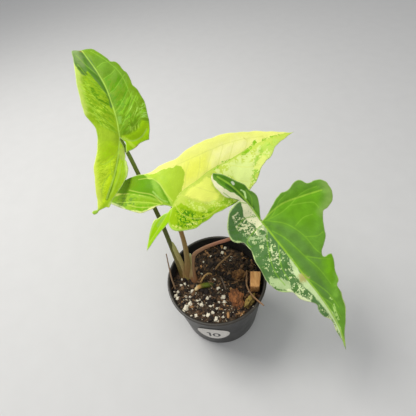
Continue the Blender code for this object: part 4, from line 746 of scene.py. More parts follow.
def new_effect(name, inputs, outputs):
    """An empty node group: a bench for its nodes, its inputs by name and its output sockets."""
    tree = bpy.data.node_groups.new(name, "ShaderNodeTree")
    for label, value in inputs.items():
        kind = "NodeSocketColor" if label.endswith("colour") else SOCKET_KINDS[type(value)]
        socket = tree.interface.new_socket(name=label, in_out="INPUT", socket_type=kind)
        socket.default_value = value
    for label in outputs:
        kind = "NodeSocketColor" if label.endswith("colour") else "NodeSocketFloat"
        tree.interface.new_socket(name=label, in_out="OUTPUT", socket_type=kind)
    bench = Bench(tree)
    return bench, bench.node("NodeGroupInput").outputs, bench.node("NodeGroupOutput").inputs


def make_patch_edge():
    """Turns a distance in millimetres, positive inside a patch, into a mask with a ragged edge."""
    bench, given, result = new_effect(
        "patch_edge", {"Distance": 0.0, "Wander": 1.0, "Blur": 0.5, "Place": FLAT}, ["Mask"])
    coarse = bench.noise(given["Place"], 1.7, 3.0)
    fine = bench.noise(given["Place"], 7.0, 2.0)
    # Taking away half of the two shares lets the edge wander both ways.
    swing = bench.math("SUBTRACT", bench.blend(coarse, 3.4, fine, 1.6), 2.5)
    swing = bench.math("MULTIPLY", swing, given["Wander"])
    edge = bench.math("DIVIDE", bench.math("ADD", given["Distance"], swing), given["Blur"])
    bench.feed(result["Mask"], bench.ramp(edge, -1.0, 1.0))
    return bench.tree


def make_flecks():
    """Angular flecks of two sizes, gathered in drifts, as the pale cells of a variegated leaf lie."""
    bench, given, result = new_effect("flecks", {"Cover": 0.5, "Grain": 4.0, "Place": FLAT}, ["Mask"])
    shake = bench.noise(given["Place"], 9.0, 2.0, output="Color")
    shift = bench.vector("MULTIPLY_ADD", shake, (0.12, 0.12, 0.0), (-0.06, -0.06, 0.0))
    place = bench.vector("ADD", given["Place"], shift)
    draws = []
    for size, channel in ((2.3, "Red"), (1.0, "Green")):
        scale = bench.math("MULTIPLY", given["Grain"], size)
        cells = bench.node("ShaderNodeTexVoronoi", {"Vector": place, "Scale": scale})
        parts = bench.node("ShaderNodeSeparateColor", {"Color": cells.outputs["Color"]})
        draws.append(parts.outputs[channel])
    drift = bench.noise(place, bench.math("MULTIPLY", given["Grain"], 0.45), 3.0, 0.6)
    draw = bench.math("MULTIPLY_ADD", drift, 0.9, bench.blend(draws[0], 0.30, draws[1], 0.35))
    # The share of the places that draw less than this limit is about the cover.
    limit = bench.math("MULTIPLY_ADD", given["Cover"], 0.43, 0.56)
    bench.feed(result["Mask"], bench.ramp(bench.math("SUBTRACT", limit, draw), -0.012, 0.012))
    return bench.tree


def make_rib_line():
    """A soft line along a vein, from the distance to it."""
    bench, given, result = new_effect("rib_line", {"Distance": 0.0, "Width": 0.5}, ["Mask"])
    share = bench.math("DIVIDE", given["Distance"], given["Width"])
    bench.feed(result["Mask"], bench.ramp(share, 0.35, 1.0, 1.0, 0.0))
    return bench.tree


def make_blade_skin():
    """The blade's fine net of veins and its cells, as a height, a tint and a gloss change."""
    bench, given, result = new_effect(
        "blade_skin", {"Sheet": FLAT, "Flow": FLAT}, ["Height", "Net", "Roughness"])
    net = bench.node(
        "ShaderNodeTexVoronoi", {"Vector": given["Flow"], "Scale": 5.5}, feature="DISTANCE_TO_EDGE")
    cells = bench.node("ShaderNodeTexVoronoi", {"Vector": given["Sheet"], "Scale": 30.0})
    crumple = bench.noise(given["Sheet"], 2.2, 3.0)
    line = bench.ramp(net.outputs["Distance"], 0.0, 0.09, 1.0, 0.0)
    height = bench.blend(line, -0.35, cells.outputs["Distance"], 0.22)
    bench.feed(result["Height"], bench.math("MULTIPLY_ADD", crumple, 1.6, height))
    bench.feed(result["Net"], line)
    bench.feed(result["Roughness"], bench.math("MULTIPLY_ADD", crumple, 0.30, 0.26))
    return bench.tree


def make_grit():
    """A rough mottled finish for mix, bark, fibre and grains: two colours, crumbs and pits."""
    bench, given, result = new_effect("grit", {
        "Place": FLAT, "Scale": 1.0, "Stretch": (1.0, 1.0, 1.0), "Light colour": (0.5, 0.5, 0.5, 1.0),
        "Dark colour": (0.1, 0.1, 0.1, 1.0), "Balance": 0.5}, ["Mixed colour", "Height", "Roughness"])
    place = bench.vector("MULTIPLY", given["Place"], given["Stretch"])
    coarse = bench.noise(place, bench.math("MULTIPLY", given["Scale"], 220.0), 5.0, 0.62)
    fine = bench.noise(place, bench.math("MULTIPLY", given["Scale"], 1300.0), 3.0, 0.6)
    balance = bench.math("SUBTRACT", given["Balance"], 0.5)
    share = bench.math("ADD", bench.blend(fine, 0.35, coarse, 0.65), balance)
    share = bench.ramp(share, 0.36, 0.64)
    bench.feed(result["Mixed colour"], bench.mix(share, given["Dark colour"], given["Light colour"]))
    bench.feed(result["Height"], bench.blend(coarse, 0.8, fine, 0.3))
    bench.feed(result["Roughness"], bench.math("MULTIPLY_ADD", fine, 0.25, 0.68))
    return bench.tree


def make_skin_streaks():
    """Lengthwise streaks and small spots on a stalk, root or straw."""
    bench, given, result = new_effect(
        "skin_streaks", {"Skin": FLAT, "Strength": 0.3}, ["Shade", "Height"])
    drawn_out = bench.vector("MULTIPLY", given["Skin"], (1.0, 1.0, 0.10))
    streak = bench.noise(drawn_out, 3.2, 4.0, 0.6)
    spot = bench.noise(given["Skin"], 2.4, 3.0, 0.6)
    both = bench.blend(streak, 0.7, spot, 0.3)
    swing = bench.math("MULTIPLY", bench.math("SUBTRACT", both, 0.5), given["Strength"])
    bench.feed(result["Shade"], bench.math("MULTIPLY_ADD", swing, 4.0, 1.0))
    bench.feed(result["Height"], both)
    return bench.tree


PATCH_EDGE = make_patch_edge()
FLECKS = make_flecks()
RIB_LINE = make_rib_line()
BLADE_SKIN = make_blade_skin()
GRIT = make_grit()
SKIN_STREAKS = make_skin_streaks()


def new_material(name, **constants):
    """A material with a Principled shader, its constants set on the shader's own sockets."""
    material = bpy.data.materials.new(name)
    material.use_nodes = True
    shader = material.node_tree.nodes["Principled BSDF"]
    for label, value in constants.items():
        shader.inputs[label.replace("_", " ")].default_value = value
    return material, Bench(material.node_tree), shader.inputs


def dress(bench, shader, colour, roughness, height, bump, strength=1.0):
    """Join a material's colour, roughness and height to its shader. bump is in millimetres."""
    bench.feed(shader["Base Color"], colour)
    bench.feed(shader["Roughness"], roughness)
    raised = bench.node("ShaderNodeBump", {
        "Height": height, "Strength": strength, "Distance": bump * MM})
    bench.feed(shader["Normal"], raised.outputs["Normal"])


def leaf_material(key):
    """A leaf's blade: its ground, its patches in order, then its veins, margin and underside."""
    paint = PAINT[key]
    material, bench, shader = new_material("leaf_" + key + "_blade", IOR=1.42, Specular_IOR_Level=0.16)
    sheet = bench.attribute("sheet")["Vector"]
    flow = bench.attribute("flow")["Vector"]
    grain = flow if paint["drawn_out"] else sheet
    colour = screen(*paint["ground"])
    for name, tint, shape in paint["patches"]:
        mask = bench.group(PATCH_EDGE, {
            "Distance": bench.attribute("patch_" + name)["Fac"], "Wander": shape["wander"],
            "Blur": shape["blur"], "Place": grain})["Mask"]
        if "cover" in shape:
            flecks = bench.group(FLECKS, {
                "Cover": shape["cover"], "Grain": shape["grain"], "Place": grain})["Mask"]
            mask = bench.math("MULTIPLY", mask, flecks)
        colour = bench.mix(mask, colour, screen(*tint))
    for name, width, strength, tint in (
            ("side_vein", SIDE_VEIN_WIDTH, paint["vein_strength"], paint["side_veins"]),
            ("main_vein", paint["rib"], MIDRIB_STRENGTH, paint["midrib"]),
            ("margin", MARGIN_WIDTH, MARGIN_STRENGTH, MARGIN_TINT)):
        mask = bench.group(RIB_LINE, {"Distance": bench.attribute(name)["Fac"], "Width": width})["Mask"]
        colour = bench.mix(bench.math("MULTIPLY", mask, strength), colour, screen(*tint))
    skin = bench.group(BLADE_SKIN, {"Sheet": sheet, "Flow": flow})
    cloud = bench.noise(sheet, 1.1, 3.0)
    tone = bench.ramp(cloud, 0.3, 0.7, 1 - paint["cloud"], 1 + 0.8 * paint["cloud"])
    tone = bench.math("MULTIPLY", tone, bench.math("MULTIPLY_ADD", skin["Net"], 0.05, 1.0))
    colour = bench.shade(colour, tone)
    under = bench.mix(UNDERSIDE_STRENGTH, colour, screen(*UNDERSIDE_TINT))
    colour = bench.mix(bench.attribute("underside")["Fac"], colour, under)
    dress(bench, shader, colour, skin["Roughness"], skin["Height"], 0.16, 0.9)
    return material


def stalk_material(name, stops):
    """A stalk's skin: its colour up its length, with lengthwise streaks."""
    material, bench, shader = new_material(name + "_skin", IOR=1.4)
    skin = bench.attribute("skin")["Vector"]
    along = bench.attribute("along")["Fac"]
    streaks = bench.group(SKIN_STREAKS, {"Skin": skin, "Strength": 0.28})
    colour = screen(*stops[0][1])
    for (low, _), (high, tint) in zip(stops, stops[1:]):
        colour = bench.mix(bench.ramp(along, low, high), colour, screen(*tint))
    roughness = bench.math("MULTIPLY_ADD", streaks["Height"], 0.3, 0.28)
    dress(bench, shader, bench.shade(colour, streaks["Shade"]), roughness, streaks["Height"], 0.18, 0.7)
    return material


def grit_material(name, light, dark, scale=1.0, stretch=(1.0, 1.0, 1.0), balance=0.5, bump=0.5,
                  attribute=None):
    """A rough natural finish. With attribute, each fleck's own draw shifts the balance of its colours."""
    material, bench, shader = new_material(name, IOR=1.45)
    if attribute:
        balance = bench.math("MULTIPLY_ADD", bench.attribute(attribute)["Fac"], 0.5, balance - 0.25)
    grit = bench.group(GRIT, {
        "Place": bench.object_place(), "Scale": scale, "Stretch": stretch,
        "Light colour": screen(*light), "Dark colour": screen(*dark), "Balance": balance})
    dress(bench, shader, grit["Mixed colour"], grit["Roughness"], grit["Height"], bump)
    return material


def streaked_material(name, light, dark, bump=0.25):
    """Dry straw, roots and twigs: two browns in lengthwise streaks."""
    material, bench, shader = new_material(name, IOR=1.45)
    streaks = bench.group(SKIN_STREAKS, {"Skin": bench.attribute("skin")["Vector"], "Strength": 0.5})
    colour = bench.mix(bench.ramp(streaks["Height"], 0.36, 0.62), screen(*dark), screen(*light))
    roughness = bench.math("MULTIPLY_ADD", streaks["Height"], 0.3, 0.5)
    dress(bench, shader, colour, roughness, streaks["Height"], bump)
    return material


def smooth_curve(points, step):
    """Points about one step apart on the smooth curve through the given ones, ends included."""
    points = np.array(points, float)
    padded = np.vstack([2 * points[0] - points[1], points, 2 * points[-1] - points[-2]])
    pieces = []
    for before, start, end, after in zip(padded, padded[1:], padded[2:], padded[3:]):
        count = max(1, round(float(np.linalg.norm((end - start)[:3])) / step))
        t = (np.arange(count) / count)[:, None]
        square = 2 * before - 5 * start + 4 * end - after
        cube = 3 * start - before - 3 * end + after
        pieces.append(0.5 * (2 * start + (end - before) * t + square * t ** 2 + cube * t ** 3))
    return np.vstack(pieces + [points[-1:]])


def thin_plate(points):
    """The smooth surface z(x, y) through the given points, as a function of an array of places."""
    data = np.array(points, float)
    places = data[:, :2]
    count = len(places)

    def kernel(a, b):
        distance = np.linalg.norm(a[:, None] - b[None], axis=2)
        return distance ** 2 * np.log(distance + 1e-9)

    affine = np.c_[np.ones(count), places]
    system = np.block([[kernel(places, places), affine], [affine.T, np.zeros((3, 3))]])
    weights = np.linalg.solve(system, np.r_[data[:, 2], 0, 0, 0])

    def surface(query):
        query = np.asarray(query, float)
        return kernel(query, places) @ weights[:count] + weights[count] + query @ weights[count + 1:]

    return surface


def distance_to_line(points, line):
    """For each point: its distance to a chain of points, how far along that is, and on which side."""
    line = np.array(line, float)
    nearest = np.full(len(points), np.inf)
    along = np.zeros(len(points))
    side = np.ones(len(points))
    gone = 0.0
    for start, end in zip(line, line[1:]):
        span = end - start
        length = float(np.hypot(*span))
        if length < 1e-9:
            continue
        offset = points - start
        t = np.clip(offset @ span / length ** 2, 0, 1)
        distance = np.linalg.norm(offset - t[:, None] * span, axis=1)
        closer = distance < nearest
        nearest = np.where(closer, distance, nearest)
        along = np.where(closer, gone + t * length, along)
        cross = span[0] * offset[:, 1] - span[1] * offset[:, 0]
        side = np.where(closer, np.sign(cross), side)
        gone += length
    return nearest, along, side


def inside(points, ring):
    """Which of the points lie inside a closed ring."""
    ring = np.array(ring, float)
    hit = np.zeros(len(points), bool)
    for start, end in zip(ring, np.roll(ring, -1, axis=0)):
        crosses = (start[1] > points[:, 1]) != (end[1] > points[:, 1])
        rise = end[1] - start[1] if end[1] != start[1] else 1e-9
        reach = start[0] + (points[:, 1] - start[1]) * (end[0] - start[0]) / rise
        hit ^= crosses & (points[:, 0] < reach)
    return hit


def finish_piece(name, thing, replaced=()):
    """Name a piece, attach it to the root body, and hide the parts of the model that it replaces."""
    thing.name = name
    thing.data.name = name
    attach(thing, "root")
    if replaced:
        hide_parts(*replaced)
    return thing


def new_thing(name, mesh, material=None, smooth=True):
    """A thing in the scene that shows a mesh, or is a camera or a light."""
    thing = bpy.data.objects.new(name, mesh)
    bpy.context.scene.collection.objects.link(thing)
    if material:
        mesh.materials.append(material)
    if smooth:
        mesh.shade_smooth()
    return thing


def mesh_of(name, verts, faces):
    """A mesh from points in millimetres and the faces between them."""
    mesh = bpy.data.meshes.new(name)
    mesh.from_pydata([tuple(v) for v in np.asarray(verts) * MM], [], faces)
    mesh.validate()
    return mesh


def mesh_from(bm, name):
    """A mesh from an editing mesh, which is freed."""
    mesh = bpy.data.meshes.new(name)
    bm.to_mesh(mesh)
    bm.free()
    return mesh


def circle(radius, height, sides):
    """Points round the axis."""
    angles = [2 * math.pi * index / sides for index in range(sides)]
    return [(radius * math.cos(angle), radius * math.sin(angle), height) for angle in angles]


def ring_faces(rings, sides, first=0, turned=False):
    """Quads between rings of points that begin at the first one. Turned, they face the other way."""
    faces = []
    for base in range(first, first + (rings - 1) * sides, sides):
        for index in range(sides):
            following = (index + 1) % sides
            quad = (base + index, base + following, base + sides + following, base + sides + index)
            faces.append(quad[:1] + quad[:0:-1] if turned else quad)
    return faces


def disc_faces(rings, sides):
    """A fan round point 0, then quads out to the last ring."""
    fan = [(0, 1 + index, 1 + (index + 1) % sides) for index in range(sides)]
    return fan + ring_faces(rings, sides, first=1, turned=True)


def apply_modifiers(thing):
    """Turn a thing with live modifiers into a plain mesh."""
    bpy.context.view_layer.update()
    result = thing.evaluated_get(bpy.context.evaluated_depsgraph_get())
    mesh = bpy.data.meshes.new_from_object(result, preserve_all_data_layers=True,
                                           depsgraph=bpy.context.evaluated_depsgraph_get())
    thing.modifiers.clear()
    thing.data = mesh


def add_values(mesh, name, values):
    """Store one number, or one vector, for each vertex under a name."""
    values = np.asarray(values, np.float32)
    kind, slot_name = ("FLOAT", "value") if values.ndim == 1 else ("FLOAT_VECTOR", "vector")
    layer = mesh.attributes.new(name, kind, "POINT")
    layer.data.foreach_set(slot_name, values.ravel())


class Blade:
    """One leaf's sheet: its frame in space, its lift over its plane, its outline and veins."""

    def __init__(self, key):
        leaf = LEAVES[key]
        self.leaf = leaf
        self.pucker = PUCKER[key]
        self.stalk = np.array(leaf["stalk"], float)
        along = np.array(leaf["tip"], float) - self.stalk
        self.along = along / np.linalg.norm(along)
        level = np.cross((0.0, 0.0, 1.0), self.along)
        level /= np.linalg.norm(level)
        upright = np.cross(self.along, level)
        roll = math.radians(leaf["roll"])
        self.across = level * math.cos(roll) + upright * math.sin(roll)
        self.normal = upright * math.cos(roll) - level * math.sin(roll)
        self.lift = thin_plate(leaf["heights"])
        self.main_veins = [smooth_curve(line, 1.5) for line in [leaf["midrib"]] + leaf["lobe_veins"]]
        self.side_veins = [smooth_curve(line, 1.5) for line in leaf["side_veins"]]
        ring = [smooth_curve(run, LEAF_GRID)[:-1] for run in leaf["outline"]]
        self.outline = np.vstack(ring)
        self.closed = np.vstack([self.outline, self.outline[:1]])

    def sheet_points(self):
        """Grid points inside the outline, well clear of it."""
        low = self.outline.min(0)
        high = self.outline.max(0)
        rows = np.arange(low[1], high[1], LEAF_GRID * math.sqrt(3) / 2)
        columns = np.arange(low[0], high[0], LEAF_GRID)
        grid = np.array([(x + LEAF_GRID / 2 * (row % 2), y)
                         for row, y in enumerate(rows) for x in columns])
        grid = grid[inside(grid, self.outline)]
        return grid[distance_to_line(grid, self.closed)[0] > 0.5 * LEAF_GRID]

    def distance_to_any(self, points, lines):
        return np.min([distance_to_line(points, line)[0] for line in lines], axis=0)

    def height(self, points, main, side, margin):
        """Lift over the leaf's plane: the sheet dips along its veins and puckers up between them."""
        coarse = self.distance_to_any(points, [self.leaf["midrib"]] + self.leaf["lobe_veins"])
        dip = self.leaf["trough"] * TROUGH_REACH * (1 - np.exp(-coarse / TROUGH_REACH))
        start, strength = self.leaf["curl"]
        curl = strength * np.maximum(0.0, points[:, 0] - start) ** 2
        near = np.minimum(side, main)
        pucker = self.pucker * (1 - np.exp(-(near / PUCKER_REACH) ** 2))
        pucker *= np.clip(margin / PUCKER_EDGE, 0, 1)
        ripple = np.array([noise.noise(Vector((x * RIPPLE_SCALE, y * RIPPLE_SCALE, 4.7)))
                           for x, y in points])
        ripple *= RIPPLE_HEIGHT * np.clip(margin / RIPPLE_EDGE, 0.25, 1)
        return self.lift(points) + dip - curl + pucker + ripple

    def place(self, points, heights):
        return (self.stalk + points[:, :1] * self.along + points[:, 1:] * self.across
                + heights[:, None] * self.normal)

    def flow(self, points):
        """Place measured along and across the side veins, in centimetres, for drawn-out markings."""
        total = np.zeros((len(points), 2))
        weights = np.zeros(len(points))
        for line in self.main_veins:
            distance, along, side = distance_to_line(points, line)
            weight = 1 / (distance ** 2 + 9.0) ** 2
            foot = along - VEIN_SLANT * distance - VEIN_BEND * distance ** 2
            total += weight[:, None] * np.c_[foot, VEIN_SLANT * distance * side]
            weights += weight
        total /= weights[:, None]
        return np.c_[total * CENTIMETRES, np.zeros(len(points))]


def patch_distance(points, shape):
    """Distance inside a painted patch, in millimetres: positive inside it, negative outside."""
    if "stripe" in shape:
        half_width, line = shape["stripe"]
        return half_width - distance_to_line(points, smooth_curve(line, 2.0))[0]
    ring = shape["area"] + shape["area"][:1]
    distance = distance_to_line(points, ring)[0]
    return np.where(inside(points, shape["area"]), distance, -distance)


def make_leaf(key):
    """One leaf: a fine sheet inside its outline, with the patches' distances, thick along its ribs."""
    blade = Blade(key)
    ring_count = len(blade.outline)
    flat = [Vector(point) for point in np.vstack([blade.outline, blade.sheet_points()])]
    edges = [(index, (index + 1) % ring_count) for index in range(ring_count)]
    found, _, triangles, _, _, _ = delaunay_2d_cdt(flat, edges, [], 1, 0.02)
    points = np.array([tuple(point) for point in found])
    used = np.unique(np.array(triangles).ravel())
    renumber = {old: new for new, old in enumerate(used)}
    points = points[used]
    faces = [tuple(renumber[index] for index in triangle) for triangle in triangles]
    main = blade.distance_to_any(points, blade.main_veins)
    side = blade.distance_to_any(points, blade.side_veins)
    margin = distance_to_line(points, blade.closed)[0]
    placed = blade.place(points, blade.height(points, main, side, margin))
    mesh = mesh_of("leaf", placed, faces)
    values = {
        "main_vein": main, "side_vein": side, "margin": margin, "underside": 0 * main,
        "sheet": np.c_[points * CENTIMETRES, 0 * main], "flow": blade.flow(points)}
    for name, _, shape in PAINT[key]["patches"]:
        values["patch_" + name] = patch_distance(points, shape)
    for name, value in values.items():
        add_values(mesh, name, value)
    leaf = new_thing("leaf", mesh, leaf_material(key))
    facing = np.array([tuple(face.normal) for face in mesh.polygons]).sum(0) @ blade.normal
    if facing < 0:
        mesh.flip_normals()
    length = np.linalg.norm(points, axis=1) / RIB_REACH
    rib = (RIB_HEIGHT * np.clip(1 - length, 0.15, 1)) * np.exp(-(main / RIB_WIDTH) ** 2)
    side_rib = SIDE_RIB_HEIGHT * np.exp(-(side / SIDE_RIB_WIDTH) ** 2)
    sheet = LEAF_THICKNESS * np.clip(EDGE_THINNESS + margin / EDGE_REACH, 0, 1)
    depth = sheet + np.maximum(rib, side_rib)
    deepest = float(depth.max())
    group = leaf.vertex_groups.new(name="thickness")
    for index, share in enumerate(depth / deepest):
        group.add([index], float(share), "REPLACE")
    solidify = leaf.modifiers.new("thickness", "SOLIDIFY")
    solidify.thickness = deepest * MM
    solidify.offset = -1.0
    solidify.vertex_group = "thickness"
    top_count = len(points)
    apply_modifiers(leaf)
    under = np.zeros(len(leaf.data.vertices), np.float32)
    under[top_count:] = 1.0
    leaf.data.attributes["underside"].data.foreach_set("value", under)
    leaf.vertex_groups.clear()
    finish_piece("leaf_" + key + "_blade", leaf, ["leaf_" + key])
    return blade


def sweep(path, sides, step, flatten=None, groove=0.0, rough=0.0, seed=0.0):
    """A closed tube with rounded ends along points of (x, y, z, radius), with its skin coordinates.

    flatten is (direction, thickness) and makes a flap as thin as that along the direction. groove is
    how deep a channel runs along it, and rough how uneven its radius is, both as shares of the radius.
    """
    stations = smooth_curve(path, step)
    centres = stations[:, :3]
    radii = stations[:, 3]
    directions = np.gradient(centres, axis=0)
    directions /= np.linalg.norm(directions, axis=1)[:, None]
    lengths = np.r_[0, np.cumsum(np.linalg.norm(np.diff(centres, axis=0), axis=1))]

    def cap(end, way, angles):
        """Rings that round off one end: angle 0 is the tube's last ring and 90 would be a point."""
        leans = [math.radians(angle) for angle in angles]
        return [(centres[end] + way * directions[end] * radii[end] * math.sin(lean),
                 radii[end] * math.cos(lean), directions[end], lengths[end]) for lean in leans]

    rings = cap(0, -1, (80, 60, 40, 20))
    rings += list(zip(centres, radii, directions, lengths))
    rings += cap(-1, 1, (20, 40, 60, 80))
    side = np.array(flatten[0] if flatten else (0.3, -0.9, 0.1), float)
    verts = []
    skin = []
    share = []
    for centre, radius, direction, length in rings:
        side = side - direction * (side @ direction)
        side /= np.linalg.norm(side)
        across = np.cross(direction, side)
        for index in range(sides):
            angle = 2 * math.pi * index / sides
            reach = radius
            if groove:
                reach *= 1 - groove * math.exp(-(min(angle, 2 * math.pi - angle) / 0.35) ** 2)
            if rough:
                spot = Vector((math.cos(angle) * 1.3, math.sin(angle) * 1.3 + seed, length * 0.35))
                reach *= 1 + rough * noise.noise(spot) + 0.6 * rough * noise.noise(spot * 2.7)
            thin = min(flatten[1] / 2, radius) if flatten else reach
            verts.append(centre + side * math.cos(angle) * thin + across * math.sin(angle) * reach)
            skin.append((math.cos(angle), math.sin(angle), length))
            share.append(length / lengths[-1])
    faces = ring_faces(len(rings), sides)
    faces.append(tuple(range(sides - 1, -1, -1)))
    faces.append(tuple(range(len(verts) - sides, len(verts))))
    mesh = mesh_of("sweep", verts, faces)
    add_values(mesh, "skin", skin)
    add_values(mesh, "along", share)
    return mesh


def make_stalks(blades):
    """The stem, and the three stalks from it to their leaves, each with its sheath."""
    mesh = sweep(STEM_PATH, 28, 1.2, rough=0.05)
    stem = new_thing("stem", mesh, stalk_material("stem", STALK_COLOURS["stem"]))
    finish_piece("stem_base", stem, ["stem"])
    for key, blade in blades.items():
        end = blade.stalk - blade.normal * (STALK_UNDER_BLADE + STALK_TOP_RADIUS)
        path = STALK_PATHS[key] + [(*end, STALK_TOP_RADIUS)]
        mesh = sweep(path, STALK_SIDES, 1.2, groove=0.12, rough=0.03, seed=ord(key))
        stalk = new_thing("stalk", mesh, stalk_material("stalk_" + key, STALK_COLOURS[key]))
        finish_piece("stalk_" + key, stalk, ["petiole_" + key])
        flat = (SHEATH_SIDES[key], SHEATH_THICKNESS)
        mesh = sweep(SHEATH_PATHS[key], STALK_SIDES, 0.9, flatten=flat, rough=0.05, seed=3.0)
        flap = new_thing("sheath", mesh, stalk_material("sheath_" + key, SHEATH_COLOURS[key]))
        finish_piece("sheath_" + key, flap)


def level(surface, x, y):
    """Height of the mix at one place, without its crumbs."""
    return float(surface([(x, y)])[0])


def over_soil(path, surface):
    """Turns each point's lift over the soil into its height."""
    return [(x, y, level(surface, x, y) + lift, radius) for x, y, lift, radius in path]


def make_roots(surface):
    """The dry roots and straws on the mix, and the cut piece of old stem."""
    for index, (name, path) in enumerate(ROOT_PATHS.items()):
        light, dark = ROOT_COLOURS[name]
        mesh = sweep(over_soil(path, surface), ROOT_SIDES, 0.8, rough=0.22, seed=2.0 * index)
        root = new_thing(name, mesh, streaked_material(name + "_skin", light, dark))
        finish_piece(name + "_fine", root, [name])
    mesh = sweep(over_soil(STUB_PATH, surface), STALK_SIDES, 0.7, rough=0.12, seed=9.0)
    stub = new_thing("stub", mesh, stalk_material("stub", STUB_COLOURS))
    finish_piece("cutting_stub_fine", stub, ["cutting_stub"])


def wall_radius(height):
    """Outside radius of the pot's wall."""
    return FOOT_RADIUS + (WALL_TOP_RADIUS - FOOT_RADIUS) * height / POT_HEIGHT


def plastic_material():
    """Charcoal moulded plastic: a satin skin with faint turned marks, scuffs and dust near the rim."""
    material, bench, shader = new_material("pot_plastic_satin", IOR=1.48, Coat_Roughness=0.35)
    place = bench.object_place()
    height = bench.node("ShaderNodeSeparateXYZ", {"Vector": place}).outputs["Z"]
    rings = bench.noise(bench.vector("MULTIPLY", place, (3.0, 3.0, 900.0)), 1.0, 2.0)
    dust = bench.noise(place, 90.0, 5.0, 0.65)
    scuff = bench.noise(bench.vector("MULTIPLY", place, (1.0, 1.0, 6.0)), 260.0, 3.0, 0.6)
    rim = bench.ramp(height, (POT_HEIGHT - LIP_HEIGHT - 1.0) * MM, POT_HEIGHT * MM)
    dusty = bench.math(
        "MULTIPLY", bench.ramp(dust, 0.5, 0.75), bench.math("MULTIPLY_ADD", rim, 0.35, 0.16))
    colour = bench.mix(rim, screen(30, 28, 26), screen(50, 45, 38))
    colour = bench.mix(dusty, colour, screen(112, 102, 88))
    colour = bench.mix(bench.ramp(scuff, 0.62, 0.72, 0.0, 0.25), colour, screen(74, 72, 70))
    # The inner wall, which lies deeper than the outside skin, is dull, and is painted near black as painted
    # shade, mottled by the dust noise.
    flat_place = bench.vector("MULTIPLY", place, (1.0, 1.0, 0.0))
    reach = bench.node("ShaderNodeVectorMath", {"Vector": flat_place}, operation="LENGTH").outputs["Value"]
    slope = (WALL_TOP_RADIUS - FOOT_RADIUS) / POT_HEIGHT
    depth = bench.math("SUBTRACT", bench.math("MULTIPLY_ADD", height, slope, FOOT_RADIUS * MM), reach)
    inner = bench.ramp(depth, 0.4 * WALL * MM, 0.7 * WALL * MM)
    inner_wall_painted_shade = bench.mix(bench.ramp(dust, 0.4, 0.7), screen(17, 15, 13), screen(40, 33, 26))
    colour = bench.mix(inner, colour, inner_wall_painted_shade)
    roughness = bench.math("ADD", bench.blend(dust, 0.28, inner, 0.4), 0.26)
    dress(bench, shader, colour, roughness, bench.blend(rings, 0.5, scuff, 0.25), 0.08, 0.6)
    return material


def make_pot():
    """The nursery pot: a profile turned round the axis, then six drain holes cut in its floor."""
    lip_bottom = POT_HEIGHT - LIP_HEIGHT
    inner_top = WALL_TOP_RADIUS - WALL
    inner_foot = wall_radius(FLOOR) - WALL
    profile = [
        (0.01, FLOOR), (15, FLOOR), (inner_foot - 2, FLOOR), (inner_foot - 0.6, FLOOR + 0.5),
        (inner_foot, FLOOR + 2), (wall_radius(POT_HEIGHT - 20) - WALL, POT_HEIGHT - 20),
        (inner_top, POT_HEIGHT - 1.2), (inner_top + 0.3, POT_HEIGHT - 0.5),
        (inner_top + 0.8, POT_HEIGHT - 0.12), (inner_top + 1.3, POT_HEIGHT),
        (RIM_RADIUS - 0.7, POT_HEIGHT), (RIM_RADIUS - 0.25, POT_HEIGHT - 0.2),
        (RIM_RADIUS, POT_HEIGHT - 0.7), (RIM_RADIUS, lip_bottom + 0.5),
        (RIM_RADIUS - 0.15, lip_bottom + 0.15), (RIM_RADIUS - 0.5, lip_bottom),
        (WALL_TOP_RADIUS + 0.25, lip_bottom), (WALL_TOP_RADIUS - 0.05, lip_bottom - 0.5),
        (wall_radius(40), 40), (wall_radius(FOOT_ROUND + 1), FOOT_ROUND + 1),
        (wall_radius(FOOT_ROUND) - 0.1, FOOT_ROUND), (FOOT_RADIUS - 0.4, FOOT_ROUND * 0.35),
        (FOOT_RADIUS - 1.1, 0.12), (FOOT_RADIUS - FOOT_ROUND, 0), (15, 0), (0.01, 0),
    ]
    verts = [point for radius, height in profile for point in circle(radius, height, POT_SIDES)]
    bm = bmesh.new()
    bm.from_mesh(mesh_of("pot", verts, ring_faces(len(profile), POT_SIDES)))
    bmesh.ops.remove_doubles(bm, verts=bm.verts, dist=0.02 * MM)
    bmesh.ops.recalc_face_normals(bm, faces=bm.faces)
    pot = new_thing("pot", mesh_from(bm, "pot"), plastic_material())
    drains = bmesh.new()
    for index in range(DRAIN_COUNT):
        angle = 2 * math.pi * (index + 0.5) / DRAIN_COUNT
        place = Matrix.Translation(Vector((math.cos(angle), math.sin(angle), 0)) * DRAIN_RING_RADIUS * MM)
        bmesh.ops.create_cone(drains, cap_ends=True, segments=DRAIN_SIDES, radius1=DRAIN_RADIUS * MM,
                              radius2=DRAIN_RADIUS * MM, depth=4 * FLOOR * MM, matrix=place)
    tool = new_thing("drains", mesh_from(drains, "drains"))
    cut = pot.modifiers.new("drains", "BOOLEAN")
    cut.object = tool
    cut.operation = "DIFFERENCE"
    cut.solver = "EXACT"
    apply_modifiers(pot)
    bpy.data.objects.remove(tool, do_unlink=True)
    pot.data.set_sharp_from_angle(angle=math.radians(35))
    finish_piece("pot_fine", pot, ["pot"])


def on_wall(across, upward, lift):
    """A point on the pot's wall, from its place on the label and its lift off the wall."""
    height = LABEL_CENTRE_HEIGHT + upward
    radius = wall_radius(height) + lift
    angle = LABEL_ANGLE + across / radius
    return (radius * math.cos(angle), radius * math.sin(angle), height)


def label_material():
    """Matt paper with a little stain."""
    material, bench, shader = new_material("label_paper_matt", IOR=1.45)
    place = bench.object_place()
    fibre = bench.noise(place, 900.0, 4.0, 0.6)
    stain = bench.noise(place, 70.0, 4.0, 0.6)
    colour = bench.mix(bench.ramp(fibre, 0.3, 0.7), screen(212, 207, 200), screen(228, 224, 216))
    colour = bench.mix(bench.ramp(stain, 0.55, 0.8, 0.0, 0.4), colour, screen(166, 156, 142))
    dress(bench, shader, colour, bench.math("MULTIPLY_ADD", fibre, 0.2, 0.5), fibre, 0.05, 0.6)
    return material


